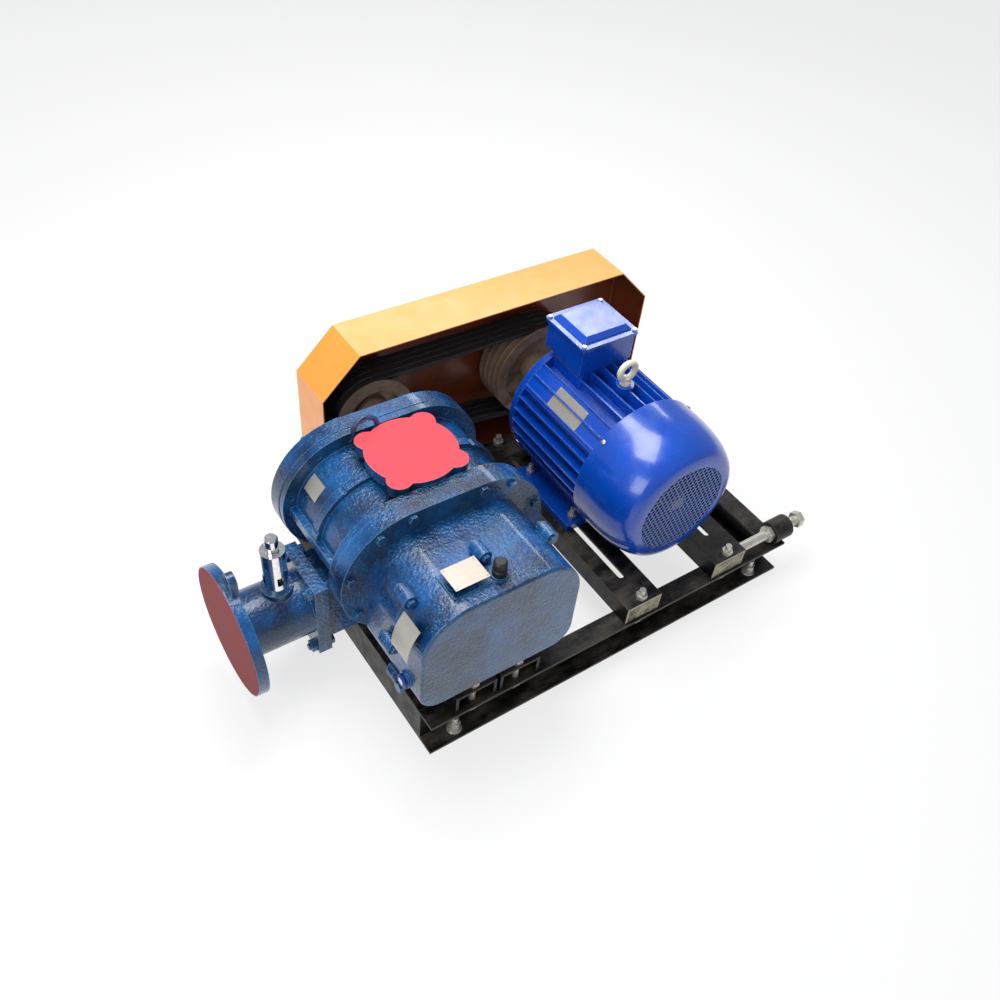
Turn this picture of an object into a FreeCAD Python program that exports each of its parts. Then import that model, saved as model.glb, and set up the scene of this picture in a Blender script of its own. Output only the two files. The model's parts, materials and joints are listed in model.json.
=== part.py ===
import FreeCAD, Part
import math
import os

import Sketcher

# Roots vacuum pump with its drive, on a base frame of channel steel.
# Frame: millimetres, +Z up. The origin is the middle of the base frame's
# underside, +X runs along the long side from the pump to the motor, and +Y runs
# from the gear cover to the belt drive. All shafts lie along Y.

Vector = FreeCAD.Vector
Rotation = FreeCAD.Rotation

SIZES = {
    # channel steel of the base frame and the cross rails
    "base_length": 830.0,
    "base_width": 508.0,
    "channel_depth": 80.0,
    "channel_flange": 40.0,
    "channel_wall": 5.0,
    "anchor_spacing": 710.0,
    "anchor_hole": 14.0,
    "rail_inset": 5.0,
    # running gap between the sliding motor rails and the frame
    "slide_gap": 0.2,
    "clamp_bolt": 12.0,
    "clamp_inset": 18.0,
    "taper_washer": 10.0,
    "take_in": 20.0,
    "take_up": 15.0,
    # tension screw
    "screw_diameter": 20.0,
    "screw_tip": 12.0,
    "screw_inset": 23.0,
    "screw_bore_gap": 0.08,
    "boss_radius": 24.0,
    "boss_length": 45.0,
    "boss_overhang": 12.0,
    "screw_reach": 28.0,
    # motor, to the usual foot-mounted frame with a 132 mm shaft height
    "motor_x": 147.0,
    "motor_face": -184.0,
    "motor_height": 132.0,
    "motor_length": 475.0,
    "foot_spread": 216.0,
    "foot_pitch": 140.0,
    "foot_to_shoulder": 89.0,
    "foot_hole": 12.0,
    "foot_bolt": 10.0,
    "foot_thickness": 15.0,
    "motor_shaft": 38.0,
    "shaft_out": 80.0,
    "barrel_radius": 108.0,
    "fin_radius": 134.0,
    "fin_thickness": 4.5,
    "fin_count": 32.0,
    "fan_cover_radius": 142.0,
    "fan_cover_end": 109.0,
    "fan_cover_length": 138.0,
    "fan_cover_sheet": 2.0,
    "terminal_length": 118.0,
    "terminal_width": 131.0,
    "terminal_y": 133.0,
    "terminal_top": 462.0,
    "terminal_lid": 17.0,
    "rail_slot_length": 370.0,
    # belt drive
    "motor_datum": 200.0,
    "blower_datum": 150.0,
    "groove_count": 4.0,
    "groove_pitch": 15.0,
    "groove_edge": 10.0,
    "pulley_face": 265.0,
    "belt_width": 12.7,
    "belt_height": 10.0,
    "belt_proud": 1.0,
    "belt_gap": 0.35,
    # belt guard
    "guard_face": 246.0,
    "guard_depth": 100.0,
    "guard_sheet": 2.0,
    "guard_left": -340.5,
    "guard_right": 387.0,
    "guard_top": 444.0,
    "guard_chamfer": 74.0,
    "bracket_thickness": 6.0,
    "bracket_width": 40.0,
    # pump
    "pump_x": -292.0,
    "shaft_height": 281.0,
    "shaft_spacing": 128.0,
    "cover_face": -257.0,
    "cover_depth": 81.0,
    "housing_depth": 91.0,
    "gear_case_overhang": 83.0,
    "gear_case_bottom": 148.0,
    "gear_case_corner": 40.0,
    "gear_case_wall": 8.0,
    "plate_thickness": 28.0,
    "plate_radius": 126.0,
    "rotor_length": 190.0,
    "casing_wall": 14.5,
    "casing_rib": 10.0,
    "bore_gap": 0.25,
    "end_gap": 0.2,
    "rotor_clearance": 0.2,
    "rotor_seat": 48.0,
    "journal": 40.0,
    "bearing_outer": 80.0,
    "bearing_width": 18.0,
    "seal_outer": 60.0,
    "running_gap": 0.05,
    "seat_gap": 0.02,
    "gear_module": 4.0,
    "gear_teeth": 32.0,
    "gear_width": 40.0,
    "gear_seat": 35.0,
    "gear_backlash": 0.3,
    "pump_foot_spread": 110.0,
    # ports
    "port_y": 30.0,
    "inlet_face": 416.0,
    "inlet_thickness": 20.0,
    "inlet_radius": 75.5,
    "inlet_pcd": 145.0,
    "inlet_hole": 18.0,
    "inlet_bore": 76.0,
    "inlet_ear": 20.0,
    "outlet_height": 163.0,
    "outlet_face": -629.0,
    "outlet_joint": -489.0,
    "outlet_pipe": 114.0,
    "outlet_wall": 4.0,
    "outlet_flange": 229.0,
    "outlet_flange_thickness": 18.0,
    "outlet_pcd": 190.5,
    "outlet_hole": 19.0,
    "joint_height": 160.0,
    "joint_width": 118.0,
    "joint_thickness": 12.0,
    # relief valve on the outlet pipe
    "valve_x": -539.0,
    "valve_base": 228.0,
    "valve_radius": 20.0,
    "valve_height": 86.0,
    "valve_knob": 28.0,
    "valve_stem": 10.0,
    "valve_lift": 6.0,
}

document = FreeCAD.newDocument("RootsPump")
sheet = document.addObject("Spreadsheet::Sheet", "Dims")
for row, (alias, number) in enumerate(SIZES.items(), start=1):
    sheet.set("A%d" % row, alias.replace("_", " "))
    sheet.set("B%d" % row, str(number))
    sheet.setAlias("B%d" % row, alias)
document.recompute()


class Size:
    """A length together with the sheet expression that gives it."""

    def __init__(self, value, text):
        self.value = value
        self.text = text

    def __add__(self, other):
        other = as_size(other)
        return Size(self.value + other.value, "(%s + %s)" % (self.text, other.text))

    def __sub__(self, other):
        other = as_size(other)
        return Size(self.value - other.value, "(%s - %s)" % (self.text, other.text))

    def __mul__(self, other):
        other = as_size(other)
        return Size(self.value * other.value, "%s * %s" % (self.text, other.text))

    def __truediv__(self, other):
        other = as_size(other)
        return Size(self.value / other.value, "%s / %s" % (self.text, other.text))

    def __neg__(self):
        return Size(-self.value, "(0 - %s)" % self.text)

    def __radd__(self, other):
        return as_size(other) + self

    def __rsub__(self, other):
        return as_size(other) - self

    def __rmul__(self, other):
        return as_size(other) * self


def as_size(number):
    if isinstance(number, Size):
        return number
    return Size(float(number), "(%.9g)" % number)


class Dims:
    """The sheet's cells as Size values, one attribute for each alias."""


D = Dims()
for alias in SIZES:
    setattr(D, alias, Size(float(sheet.get(alias)), "Dims." + alias))


# ---------------------------------------------------------------- helpers

ALONG = {
    "X": Rotation(Vector(0, 1, 0), 90),
    "Y": Rotation(Vector(1, 0, 0), -90),
    "Z": Rotation(),
}
PLANE_OF = {"X": "YZ_Plane", "Y": "XZ_Plane", "Z": "XY_Plane"}
sub_parts = []


def listed(thing):
    """Put an object on the list of sub-parts that are written out."""
    sub_parts.append(thing)
    return thing


def put(thing, at, rotation=None):
    """Place an object, with each coordinate bound to the sheet."""
    if rotation is not None:
        thing.Placement = FreeCAD.Placement(Vector(), rotation)
    for axis, size in zip("xyz", at):
        thing.setExpression("Placement.Base." + axis, as_size(size).text)
    return thing


def block(name, x, y, z):
    """A box between the two ends given for each axis."""
    box = document.addObject("Part::Box", name)
    for prop, ends in (("Length", x), ("Width", y), ("Height", z)):
        box.setExpression(prop, (as_size(ends[1]) - ends[0]).text)
    return put(box, (x[0], y[0], z[0]))


def rod(name, radius, start, length, axis="Z"):
    cylinder = document.addObject("Part::Cylinder", name)
    cylinder.setExpression("Radius", as_size(radius).text)
    cylinder.setExpression("Height", as_size(length).text)
    return put(cylinder, start, ALONG[axis])


def joined(name, shapes):
    fusion = document.addObject("Part::MultiFuse", name)
    fusion.Shapes = shapes
    fusion.Refine = True
    return fusion


def without(name, base, tools):
    cut = document.addObject("Part::Cut", name)
    cut.Base = base
    if len(tools) > 1:
        cut.Tool = joined(name + "_tools", tools)
    else:
        cut.Tool = tools[0]
    cut.Refine = True
    return cut


def new_body(name, at=(0, 0, 0), rotation=None):
    return put(document.addObject("PartDesign::Body", name), at, rotation)


def new_sketch(body, name, plane, level=0):
    """A sketch on one of the body's origin planes, lifted by level along its normal."""
    sketch = body.newObject("Sketcher::SketchObject", name)
    support = [item for item in body.Origin.OriginFeatures if item.Role == plane]
    sketch.AttachmentSupport = [(support[0], "")]
    sketch.MapMode = "FlatFace"
    sketch.setExpression("AttachmentOffset.Base.z", as_size(level).text)
    return sketch


def constrain(sketch, kind, geometry, point, size, label):
    """Hold a point's distance from the sketch's origin to a size."""
    size = as_size(size)
    constraint = Sketcher.Constraint(kind, -1, 1, geometry, point, size.value)
    index = sketch.addConstraint(constraint)
    sketch.renameConstraint(index, label)
    sketch.setExpression("Constraints." + label, size.text)


def outline(sketch, points):
    """A closed polygon, each corner bound to the sheet."""
    points = [(as_size(x), as_size(y)) for x, y in points]
    first = sketch.GeometryCount
    count = len(points)
    for index in range(count):
        start = Vector(points[index][0].value, points[index][1].value, 0)
        following = points[(index + 1) % count]
        end = Vector(following[0].value, following[1].value, 0)
        sketch.addGeometry(Part.LineSegment(start, end), False)
    for index in range(count):
        following = first + (index + 1) % count
        sketch.addConstraint(
            Sketcher.Constraint("Coincident", first + index, 2, following, 1))
    for index, (x, y) in enumerate(points):
        constrain(sketch, "DistanceX", first + index, 1, x, "x%d" % (first + index))
        constrain(sketch, "DistanceY", first + index, 1, y, "y%d" % (first + index))


def circle(sketch, x, y, radius):
    x, y, radius = as_size(x), as_size(y), as_size(radius)
    middle = Vector(x.value, y.value, 0)
    index = sketch.addGeometry(Part.Circle(middle, Vector(0, 0, 1), radius.value), False)
    constrain(sketch, "DistanceX", index, 3, x, "x%d" % index)
    constrain(sketch, "DistanceY", index, 3, y, "y%d" % index)
    hold = sketch.addConstraint(Sketcher.Constraint("Radius", index, radius.value))
    sketch.renameConstraint(hold, "r%d" % index)
    sketch.setExpression("Constraints.r%d" % index, radius.text)


def slot(sketch, x, y, length, width, along):
    """A slot with round ends, its middle at x, y, along the sketch's x or y."""
    x, y = as_size(x), as_size(y)
    radius = as_size(width) / 2
    reach = (as_size(length) - width) / 2
    turn = 0 if along == "x" else math.pi / 2
    middle = Vector(x.value, y.value, 0)
    step = Vector(math.cos(turn), math.sin(turn), 0)
    side = Vector(-math.sin(turn), math.cos(turn), 0)
    far = middle + step * reach.value
    near = middle - step * reach.value
    arcs = []
    for centre, start in ((near, turn + math.pi / 2), (far, turn - math.pi / 2)):
        ring = Part.Circle(centre, Vector(0, 0, 1), radius.value)
        arc = Part.ArcOfCircle(ring, start, start + math.pi)
        arcs.append(sketch.addGeometry(arc, False))
    lines = []
    for sign in (1, -1):
        edge = side * (sign * radius.value)
        lines.append(sketch.addGeometry(Part.LineSegment(near + edge, far + edge), False))
    for arc, point, line, end in ((arcs[0], 1, lines[0], 1), (arcs[1], 2, lines[0], 2),
                                  (arcs[0], 2, lines[1], 1), (arcs[1], 1, lines[1], 2)):
        sketch.addConstraint(Sketcher.Constraint("Tangent", arc, point, line, end))
    for arc, sign in ((arcs[0], -1), (arcs[1], 1)):
        centre_x = x + reach * sign if along == "x" else x
        centre_y = y if along == "x" else y + reach * sign
        constrain(sketch, "DistanceX", arc, 3, centre_x, "x%d" % arc)
        constrain(sketch, "DistanceY", arc, 3, centre_y, "y%d" % arc)
        hold = sketch.addConstraint(Sketcher.Constraint("Radius", arc, radius.value))
        sketch.renameConstraint(hold, "r%d" % arc)
        sketch.setExpression("Constraints.r%d" % arc, radius.text)


def pad(body, sketch, length, middle=False, back=False):
    feature = body.newObject("PartDesign::Pad", sketch.Name + "_pad")
    feature.Profile = sketch
    feature.setExpression("Length", as_size(length).text)
    feature.Midplane = middle
    feature.Reversed = back
    return feature


def pocket(body, sketch, depth=None, back=False):
    feature = body.newObject("PartDesign::Pocket", sketch.Name + "_pocket")
    feature.Profile = sketch
    if depth is None:
        feature.Type = "ThroughAll"
    else:
        feature.setExpression("Length", as_size(depth).text)
    feature.Reversed = back
    return feature


def turned(name, at, axis, profile):
    """A turned piece: profile is a closed outline of (radius, station along the axis)."""
    body = new_body(name, at)
    if axis == "X":
        sketch = new_sketch(body, name + "_profile", "XY_Plane")
        outline(sketch, [(station, radius) for radius, station in profile])
    else:
        plane = "XY_Plane" if axis == "Y" else "XZ_Plane"
        sketch = new_sketch(body, name + "_profile", plane)
        outline(sketch, profile)
    feature = body.newObject("PartDesign::Revolution", name + "_turned")
    feature.Profile = sketch
    feature.ReferenceAxis = (sketch, ["H_Axis" if axis == "X" else "V_Axis"])
    feature.Angle = 360
    return body


def steps(profile_steps, bore=0):
    """The outline of a stepped shaft or ring from (radius, from, to) steps."""
    outer = []
    for radius, start, end in profile_steps:
        outer.append((radius, start))
        outer.append((radius, end))
    return [(bore, profile_steps[0][1])] + outer + [(bore, profile_steps[-1][2])]


def dress(body, kind, base, test, size):
    """Fillet or chamfer the edges of a feature whose middle point passes the test."""
    document.recompute()
    names = []
    for index, edge in enumerate(base.Shape.Edges, start=1):
        middle = edge.valueAt((edge.FirstParameter + edge.LastParameter) / 2)
        if test(edge, middle):
            names.append("Edge%d" % index)
    feature = body.newObject("PartDesign::" + kind, base.Name + "_" + kind.lower())
    feature.Base = (base, names)
    feature.setExpression("Radius" if kind == "Fillet" else "Size", as_size(size).text)
    return feature


def runs_along(edge, axis):
    """True if a straight edge runs along the given direction."""
    if edge.Curve.TypeId != "Part::GeomLine":
        return False
    return abs(abs(edge.tangentAt(edge.FirstParameter).dot(axis)) - 1) < 1e-6


def free_shape(name, shape, at=(0, 0, 0)):
    """A sub-part whose form is worked out here from the sheet's sizes."""
    feature = document.addObject("Part::Feature", name)
    feature.Shape = shape
    return put(feature, at)


# ------------------------------------------------------------- fasteners

HEAD_HEIGHT = 0.65
NUT_HEIGHT = 0.8
ACROSS_FLATS = 1.6
NUT_BORE_GAP = 0.05


def hexagon(diameter, height):
    """A hexagon prism for a head or nut of the given thread diameter."""
    corner = diameter * ACROSS_FLATS / math.sqrt(3)
    points = []
    for side in range(7):
        angle = math.radians(60 * side)
        points.append(Vector(corner * math.cos(angle), corner * math.sin(angle), 0))
    return Part.Face(Part.makePolygon(points)).extrude(Vector(0, 0, height))


def bolt(diameter, length):
    """A hexagon bolt: the head's seat is at z = 0 and the shank points down."""
    shank = Part.makeCylinder(diameter / 2, length, Vector(0, 0, -length))
    return hexagon(diameter, diameter * HEAD_HEIGHT).fuse(shank).removeSplitter()


def nut(diameter):
    """A hexagon nut that stands on z = 0."""
    height = diameter * NUT_HEIGHT
    bore = Part.makeCylinder(diameter / 2 + NUT_BORE_GAP, height)
    return hexagon(diameter, height).cut(bore)


def square_washer(diameter, side, thickness):
    """A square washer that stands on z = 0."""
    plate = Part.makeBox(side, side, thickness, Vector(-side / 2, -side / 2, 0))
    return plate.cut(Part.makeCylinder(diameter / 2 + NUT_BORE_GAP, thickness))


def moved(shape, at, rotation=None):
    copy = shape.copy()
    copy.Placement = FreeCAD.Placement(Vector(*at), rotation or Rotation())
    return copy


def facing(direction):
    """The rotation that turns +Z to a direction."""
    return Rotation(Vector(0, 0, 1), direction)


def bolted_pairs(name, diameter, grip, places, direction, spare, washer=None):
    """Bolts with nuts through a joint; places are the head seats, spare is the free end."""
    pieces = []
    turn = facing(direction)
    length = grip + diameter * NUT_HEIGHT + spare
    for place in places:
        seat = Vector(*place)
        pieces.append(moved(bolt(diameter, length), seat, turn))
        pieces.append(moved(nut(diameter), seat - direction * grip, facing(-direction)))
        if washer is not None:
            side, thickness = washer
            shape = square_washer(diameter, side, thickness)
            pieces.append(moved(shape, seat - direction * thickness, turn))
    return free_shape(name, Part.makeCompound(pieces))


# ------------------------------------------------------------ base frame

half_length = D.base_length / 2
half_width = D.base_width / 2
flange_middle = D.channel_flange / 2
motor_rail_x = (D.motor_x - D.foot_spread / 2, D.motor_x + D.foot_spread / 2)
pump_rail_x = (D.pump_x - D.pump_foot_spread / 2 + 22, D.pump_x + D.pump_foot_spread / 2)
bracket_x = (-110, 350)
bracket_bolt = 8.0
bracket_hole_inset = 20.0


def channel(flange, depth, wall):
    """Corners of a channel section: web on the second axis, flanges to minus."""
    return [(0, 0), (-flange, 0), (-flange, wall), (-wall, wall),
            (-wall, depth - wall), (-flange, depth - wall), (-flange, depth), (0, depth)]


def long_rail(name, outward):
    """A rail along X with its flanges to the outside."""
    body = new_body(name, (0, (half_width - D.channel_flange) * outward, 0))
    section = channel(D.channel_flange, D.channel_depth, D.channel_wall)
    if outward > 0:
        section = [(-as_size(x), y) for x, y in section]
    sketch = new_sketch(body, name + "_section", "YZ_Plane")
    outline(sketch, section)
    pad(body, sketch, D.base_length, middle=True)
    anchors = new_sketch(body, name + "_anchors", "XY_Plane", D.channel_wall)
    for side in (-1, 1):
        circle(anchors, D.anchor_spacing / 2 * side, flange_middle * outward,
               D.anchor_hole / 2)
    pocket(body, anchors)
    clamps = new_sketch(body, name + "_clamps", "XY_Plane", D.channel_depth)
    from_web = (D.channel_flange - D.clamp_inset) * outward
    slot_length = D.take_in + D.take_up + D.clamp_bolt + 2
    for rail_x in motor_rail_x:
        middle = rail_x + (D.take_up - D.take_in) / 2
        slot(clamps, middle, from_web, slot_length, D.clamp_bolt + 2, "x")
    for rail_x in pump_rail_x:
        circle(clamps, rail_x, from_web, D.clamp_bolt / 2 + 0.5)
    if outward > 0:
        for x in bracket_x:
            circle(clamps, x, D.channel_flange - bracket_hole_inset, bracket_bolt / 2 + 0.5)
    pocket(body, clamps, D.channel_wall)
    return listed(body)


def end_rail(name, side):
    """A rail along Y between the long rails, with its web to the outside."""
    body = new_body(name, (half_length * side, 0, 0))
    section = channel(D.channel_flange, D.channel_depth, D.channel_wall)
    if side < 0:
        section = [(-as_size(x), z) for x, z in section]
    sketch = new_sketch(body, name + "_section", "XZ_Plane")
    outline(sketch, section)
    pad(body, sketch, D.base_width - D.channel_flange * 2, middle=True)
    return listed(body)


rail_slot_middle = 3.0
rail_top = D.channel_depth + D.channel_flange
motor_rail_z = D.channel_depth + D.slide_gap
motor_rail_top = rail_top + D.slide_gap


def cross_rail(name, x, z, foot_holes):
    """An inverted channel across the frame: foot holes, or one long slot for motor feet."""
    body = new_body(name, (x, 0, z))
    half = D.channel_depth / 2
    top = D.channel_flange
    wall = D.channel_wall
    sketch = new_sketch(body, name + "_section", "XZ_Plane")
    outline(sketch, [(-half, 0), (wall - half, 0), (wall - half, top - wall),
                     (half - wall, top - wall), (half - wall, 0), (half, 0),
                     (half, top), (-half, top)])
    pad(body, sketch, D.base_width - D.rail_inset * 2, middle=True)
    holes = new_sketch(body, name + "_holes", "XY_Plane", top)
    for end in (-1, 1):
        circle(holes, 0, (half_width - D.clamp_inset) * end, D.clamp_bolt / 2 + 0.5)
    for hole_x, hole_y in foot_holes:
        circle(holes, hole_x - x, hole_y, D.clamp_bolt / 2 + 0.5)
    if not foot_holes:
        slot(holes, 0, rail_slot_middle, D.rail_slot_length, D.foot_hole + 1, "y")
    pocket(body, holes, wall)
    return body


plate_y = D.cover_face + D.cover_depth + D.housing_depth
casing_y = plate_y + D.plate_thickness
rear_plate_y = casing_y + D.rotor_length
rear_face_y = rear_plate_y + D.plate_thickness
foot_reach = 30.0
pump_foot_x = (D.pump_x - D.pump_foot_spread / 2, D.pump_x + D.pump_foot_spread / 2)
pump_foot_y = (plate_y - foot_reach / 2, rear_face_y + foot_reach / 2)

for rail_name, rail_side in (("front_rail", -1), ("rear_rail", 1)):
    long_rail(rail_name, rail_side)
for rail_name, rail_side in (("left_rail", -1), ("right_rail", 1)):
    end_rail(rail_name, rail_side)
for rail_name, rail_x, foot_x in (("pump_rail_left", pump_rail_x[0], pump_foot_x[0]),
                                  ("pump_rail_right", pump_rail_x[1], pump_foot_x[1])):
    listed(cross_rail(rail_name, rail_x, D.channel_depth, [(foot_x, y) for y in pump_foot_y]))

# The tension screw's tip passes through the right motor rail's outer flange.
listed(cross_rail("motor_rail_left", motor_rail_x[0], motor_rail_z, []))
screw_y = D.screw_inset - half_width
screw_z = D.channel_depth + D.boss_radius
flange_face = motor_rail_x[1] + D.channel_depth / 2
plain_rail = cross_rail("plain_right_rail", motor_rail_x[1], motor_rail_z, [])
tip_hole = rod("tip_hole", D.screw_tip / 2 + 0.5,
               (flange_face - D.channel_wall - 1, screw_y, screw_z), D.channel_wall + 2, "X")
listed(without("motor_rail_right", plain_rail, [tip_hole]))

clamp_gap = 0.2
clamp_spare = 12.0
clamp_washer = 26.0


def clamp_set(name, rail_x, rail_z):
    """Clamp bolts, taper washers and nuts that hold two cross rails to the frame."""
    bottom = D.channel_depth - D.channel_wall - D.taper_washer - clamp_gap
    nut_seat = rail_z + D.channel_flange
    places = []
    for x in rail_x:
        for end in (-1, 1):
            y = (half_width - D.clamp_inset) * end
            places.append((x.value, y.value, bottom.value))
    pairs = bolted_pairs(name, D.clamp_bolt.value, (nut_seat - bottom).value, places,
                         Vector(0, 0, -1), clamp_spare, (clamp_washer, D.taper_washer.value))
    return listed(pairs)


clamp_set("pump_rail_bolts", pump_rail_x, D.channel_depth)
clamp_set("motor_rail_bolts", motor_rail_x, motor_rail_z)

# ---------------------------------------------------------- tension screw

boss_end = half_length + D.boss_overhang
boss_start = boss_end - D.boss_length
barrel = rod("boss_barrel", D.boss_radius, (boss_start, screw_y, screw_z),
             D.boss_length, "X")
saddle = block("boss_saddle", (boss_start, half_length),
               (screw_y - D.boss_radius / 2, screw_y + D.boss_radius / 2),
               (D.channel_depth, screw_z))
boss_bore = rod("boss_bore", D.screw_diameter / 2 + D.screw_bore_gap,
                (boss_start - 1, screw_y, screw_z), D.boss_length + 2, "X")
listed(without("tension_boss", joined("boss_body", [barrel, saddle]), [boss_bore]))


def hexagon_bar(name, across_flats, start, length, axis):
    """A hexagon bar, its first flat to the side."""
    bar = document.addObject("Part::Prism", name)
    bar.Polygon = 6
    bar.setExpression("Circumradius", (as_size(across_flats) / math.sqrt(3)).text)
    bar.setExpression("Height", as_size(length).text)
    return put(bar, start, ALONG[axis])


lock_nut_width = D.screw_diameter / 2
screw_flats = D.screw_diameter * 1.5
lock_bar = hexagon_bar("lock_bar", screw_flats,
                       (boss_start - lock_nut_width, screw_y, screw_z), lock_nut_width, "X")
lock_bore = rod("lock_bore", D.screw_diameter / 2 + D.screw_bore_gap,
                (boss_start - lock_nut_width - 1, screw_y, screw_z), lock_nut_width + 2, "X")
listed(without("tension_lock_nut", lock_bar, [lock_bore]))

# The shank's shoulder bears on the rail's flange, and a nut inside the rail keeps it there.
tip_gap = 0.2
head_start = boss_end + D.screw_reach
head_height = D.screw_diameter * HEAD_HEIGHT
shank = rod("screw_shank", D.screw_diameter / 2, (flange_face + tip_gap, screw_y, screw_z),
            head_start - flange_face, "X")
tip_start = flange_face - D.channel_wall - D.screw_tip * 1.3
tip = rod("screw_spigot", D.screw_tip / 2, (tip_start, screw_y, screw_z),
          flange_face - tip_start + 1, "X")
head = hexagon_bar("screw_head", screw_flats, (head_start, screw_y, screw_z), head_height, "X")
screw_body = joined("screw_body", [shank, tip, head])
keeper_width = D.screw_tip * NUT_HEIGHT
keeper_start = flange_face - D.channel_wall - tip_gap - keeper_width
keeper_bar = hexagon_bar("keeper_bar", D.screw_tip * ACROSS_FLATS,
                         (keeper_start, screw_y, screw_z), keeper_width, "X")
keeper_bore = rod("keeper_bore", D.screw_tip / 2 + NUT_BORE_GAP,
                  (keeper_start - 1, screw_y, screw_z), keeper_width + 2, "X")
keeper = without("keeper_nut", keeper_bar, [keeper_bore])
screw_set = document.addObject("Part::Compound", "tension_screw")
screw_set.Links = [screw_body, keeper]
listed(screw_set)

# ------------------------------------------------------------------ motor

axis_z = motor_rail_top + D.motor_height
shoulder_y = D.motor_face + D.motor_length - D.shaft_out
foot_y = (shoulder_y - D.foot_to_shoulder - D.foot_pitch, shoulder_y - D.foot_to_shoulder)
motor_at = (D.motor_x, 0, axis_z)
barrel_start = D.motor_face + D.fan_cover_length + 6
barrel_end = shoulder_y - 43
barrel_length = barrel_end - barrel_start
stator_radius = D.barrel_radius - 12

frame_body = new_body("finned_barrel", (D.motor_x, barrel_start, axis_z))
ring = new_sketch(frame_body, "barrel_ring", "XZ_Plane")
circle(ring, 0, 0, D.barrel_radius)
circle(ring, 0, 0, stator_radius)
pad(frame_body, ring, barrel_length, back=True)
fin = new_sketch(frame_body, "fin_outline", "XZ_Plane")
fin_root = D.barrel_radius - 2
fin_half = D.fin_thickness / 2
outline(fin, [(fin_root, -fin_half), (D.fin_radius, fin_half * -0.6),
              (D.fin_radius, fin_half * 0.6), (fin_root, fin_half)])
fin_pad = pad(frame_body, fin, barrel_length, back=True)
fins = frame_body.newObject("PartDesign::PolarPattern", "fin_pattern")
fins.Originals = [fin_pad]
fins.Axis = (ring, ["N_Axis"])
fins.Angle = 360
fins.setExpression("Occurrences", D.fin_count.text)
frame_body.Tip = fins

foot_length = D.foot_pitch + 38
foot_edge = D.foot_spread / 2 + 23
foot_inner = D.foot_spread / 2 - 28
foot_start = foot_y[0] - 19
motor_cast = [frame_body]
for label, side in (("left", -1), ("right", 1)):
    edges = sorted([D.motor_x + foot_edge * side, D.motor_x + foot_inner * side],
                   key=lambda size: size.value)
    motor_cast.append(block("foot_" + label, edges, (foot_start, foot_start + foot_length),
                            (motor_rail_top, motor_rail_top + D.foot_thickness)))
    webs = sorted([D.motor_x + (foot_inner + 2) * side, D.motor_x + (foot_inner + 14) * side],
                  key=lambda size: size.value)
    motor_cast.append(block("foot_web_" + label, webs,
                            (foot_start, foot_start + foot_length),
                            (motor_rail_top + D.foot_thickness - 1, axis_z - 62)))
terminal_base_z = D.terminal_top - D.terminal_lid - 55
motor_cast.append(block("terminal_neck", (D.motor_x - 50, D.motor_x + 50),
                        (D.terminal_y - 48, barrel_end - 1),
                        (axis_z + D.barrel_radius - 14, terminal_base_z)))
eye_y = 21.0
eye_pad_z = axis_z + D.fin_radius + 6
motor_cast.append(rod("eye_pad", 17, (D.motor_x, eye_y, axis_z + D.barrel_radius - 4),
                      D.fin_radius - D.barrel_radius + 10))
plate_turn = 47.0
plate_pad = document.addObject("Part::Box", "nameplate_pad")
for prop, size in (("Length", as_size(56)), ("Width", barrel_length),
                   ("Height", D.fin_radius - D.barrel_radius)):
    plate_pad.setExpression(prop, size.text)
pad_turn = math.radians(plate_turn)
pad_base = D.barrel_radius - 6
put(plate_pad, (D.motor_x - pad_base * math.sin(pad_turn) - 28 * math.cos(pad_turn),
                barrel_start,
                axis_z + pad_base * math.cos(pad_turn) - 28 * math.sin(pad_turn)),
    Rotation(Vector(0, 1, 0), -plate_turn))
motor_cast.append(plate_pad)
frame_cast = joined("motor_frame_casting", motor_cast)
frame_holes = [rod("stator_space", stator_radius, (D.motor_x, barrel_start - 1, axis_z),
                   barrel_length + 2, "Y")]
for x in motor_rail_x:
    for y in foot_y:
        frame_holes.append(rod("foot_hole", D.foot_hole / 2, (x, y, motor_rail_top - 1),
                               D.foot_thickness + 2))
listed(without("motor_frame", frame_cast, frame_holes))

shaft_radius = D.motor_shaft / 2
bell_radius = D.fin_radius - 4
spigot = 6.0
listed(turned("drive_end_bell", motor_at, "Y", [
    (shaft_radius + D.running_gap, barrel_end + 8), (38, barrel_end + 8),
    (46, barrel_end - spigot), (stator_radius - D.seat_gap, barrel_end - spigot),
    (stator_radius - D.seat_gap, barrel_end), (bell_radius, barrel_end),
    (bell_radius, barrel_end + 14), (D.barrel_radius, barrel_end + 20),
    (72, shoulder_y - 12), (48, shoulder_y - 10), (46, shoulder_y - 2),
    (shaft_radius + D.running_gap, shoulder_y - 2)]))
fan_shaft = shaft_radius - 3
fan_bell = turned("fan_bell_disc", motor_at, "Y", [
    (fan_shaft + D.running_gap, barrel_start - 24), (34, barrel_start - 24),
    (40, barrel_start - 10), (D.barrel_radius - 2, barrel_start - 8),
    (D.barrel_radius, barrel_start), (stator_radius - D.seat_gap, barrel_start),
    (stator_radius - D.seat_gap, barrel_start + spigot), (44, barrel_start + spigot),
    (38, barrel_start - 6), (fan_shaft + D.running_gap, barrel_start - 6)])
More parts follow.
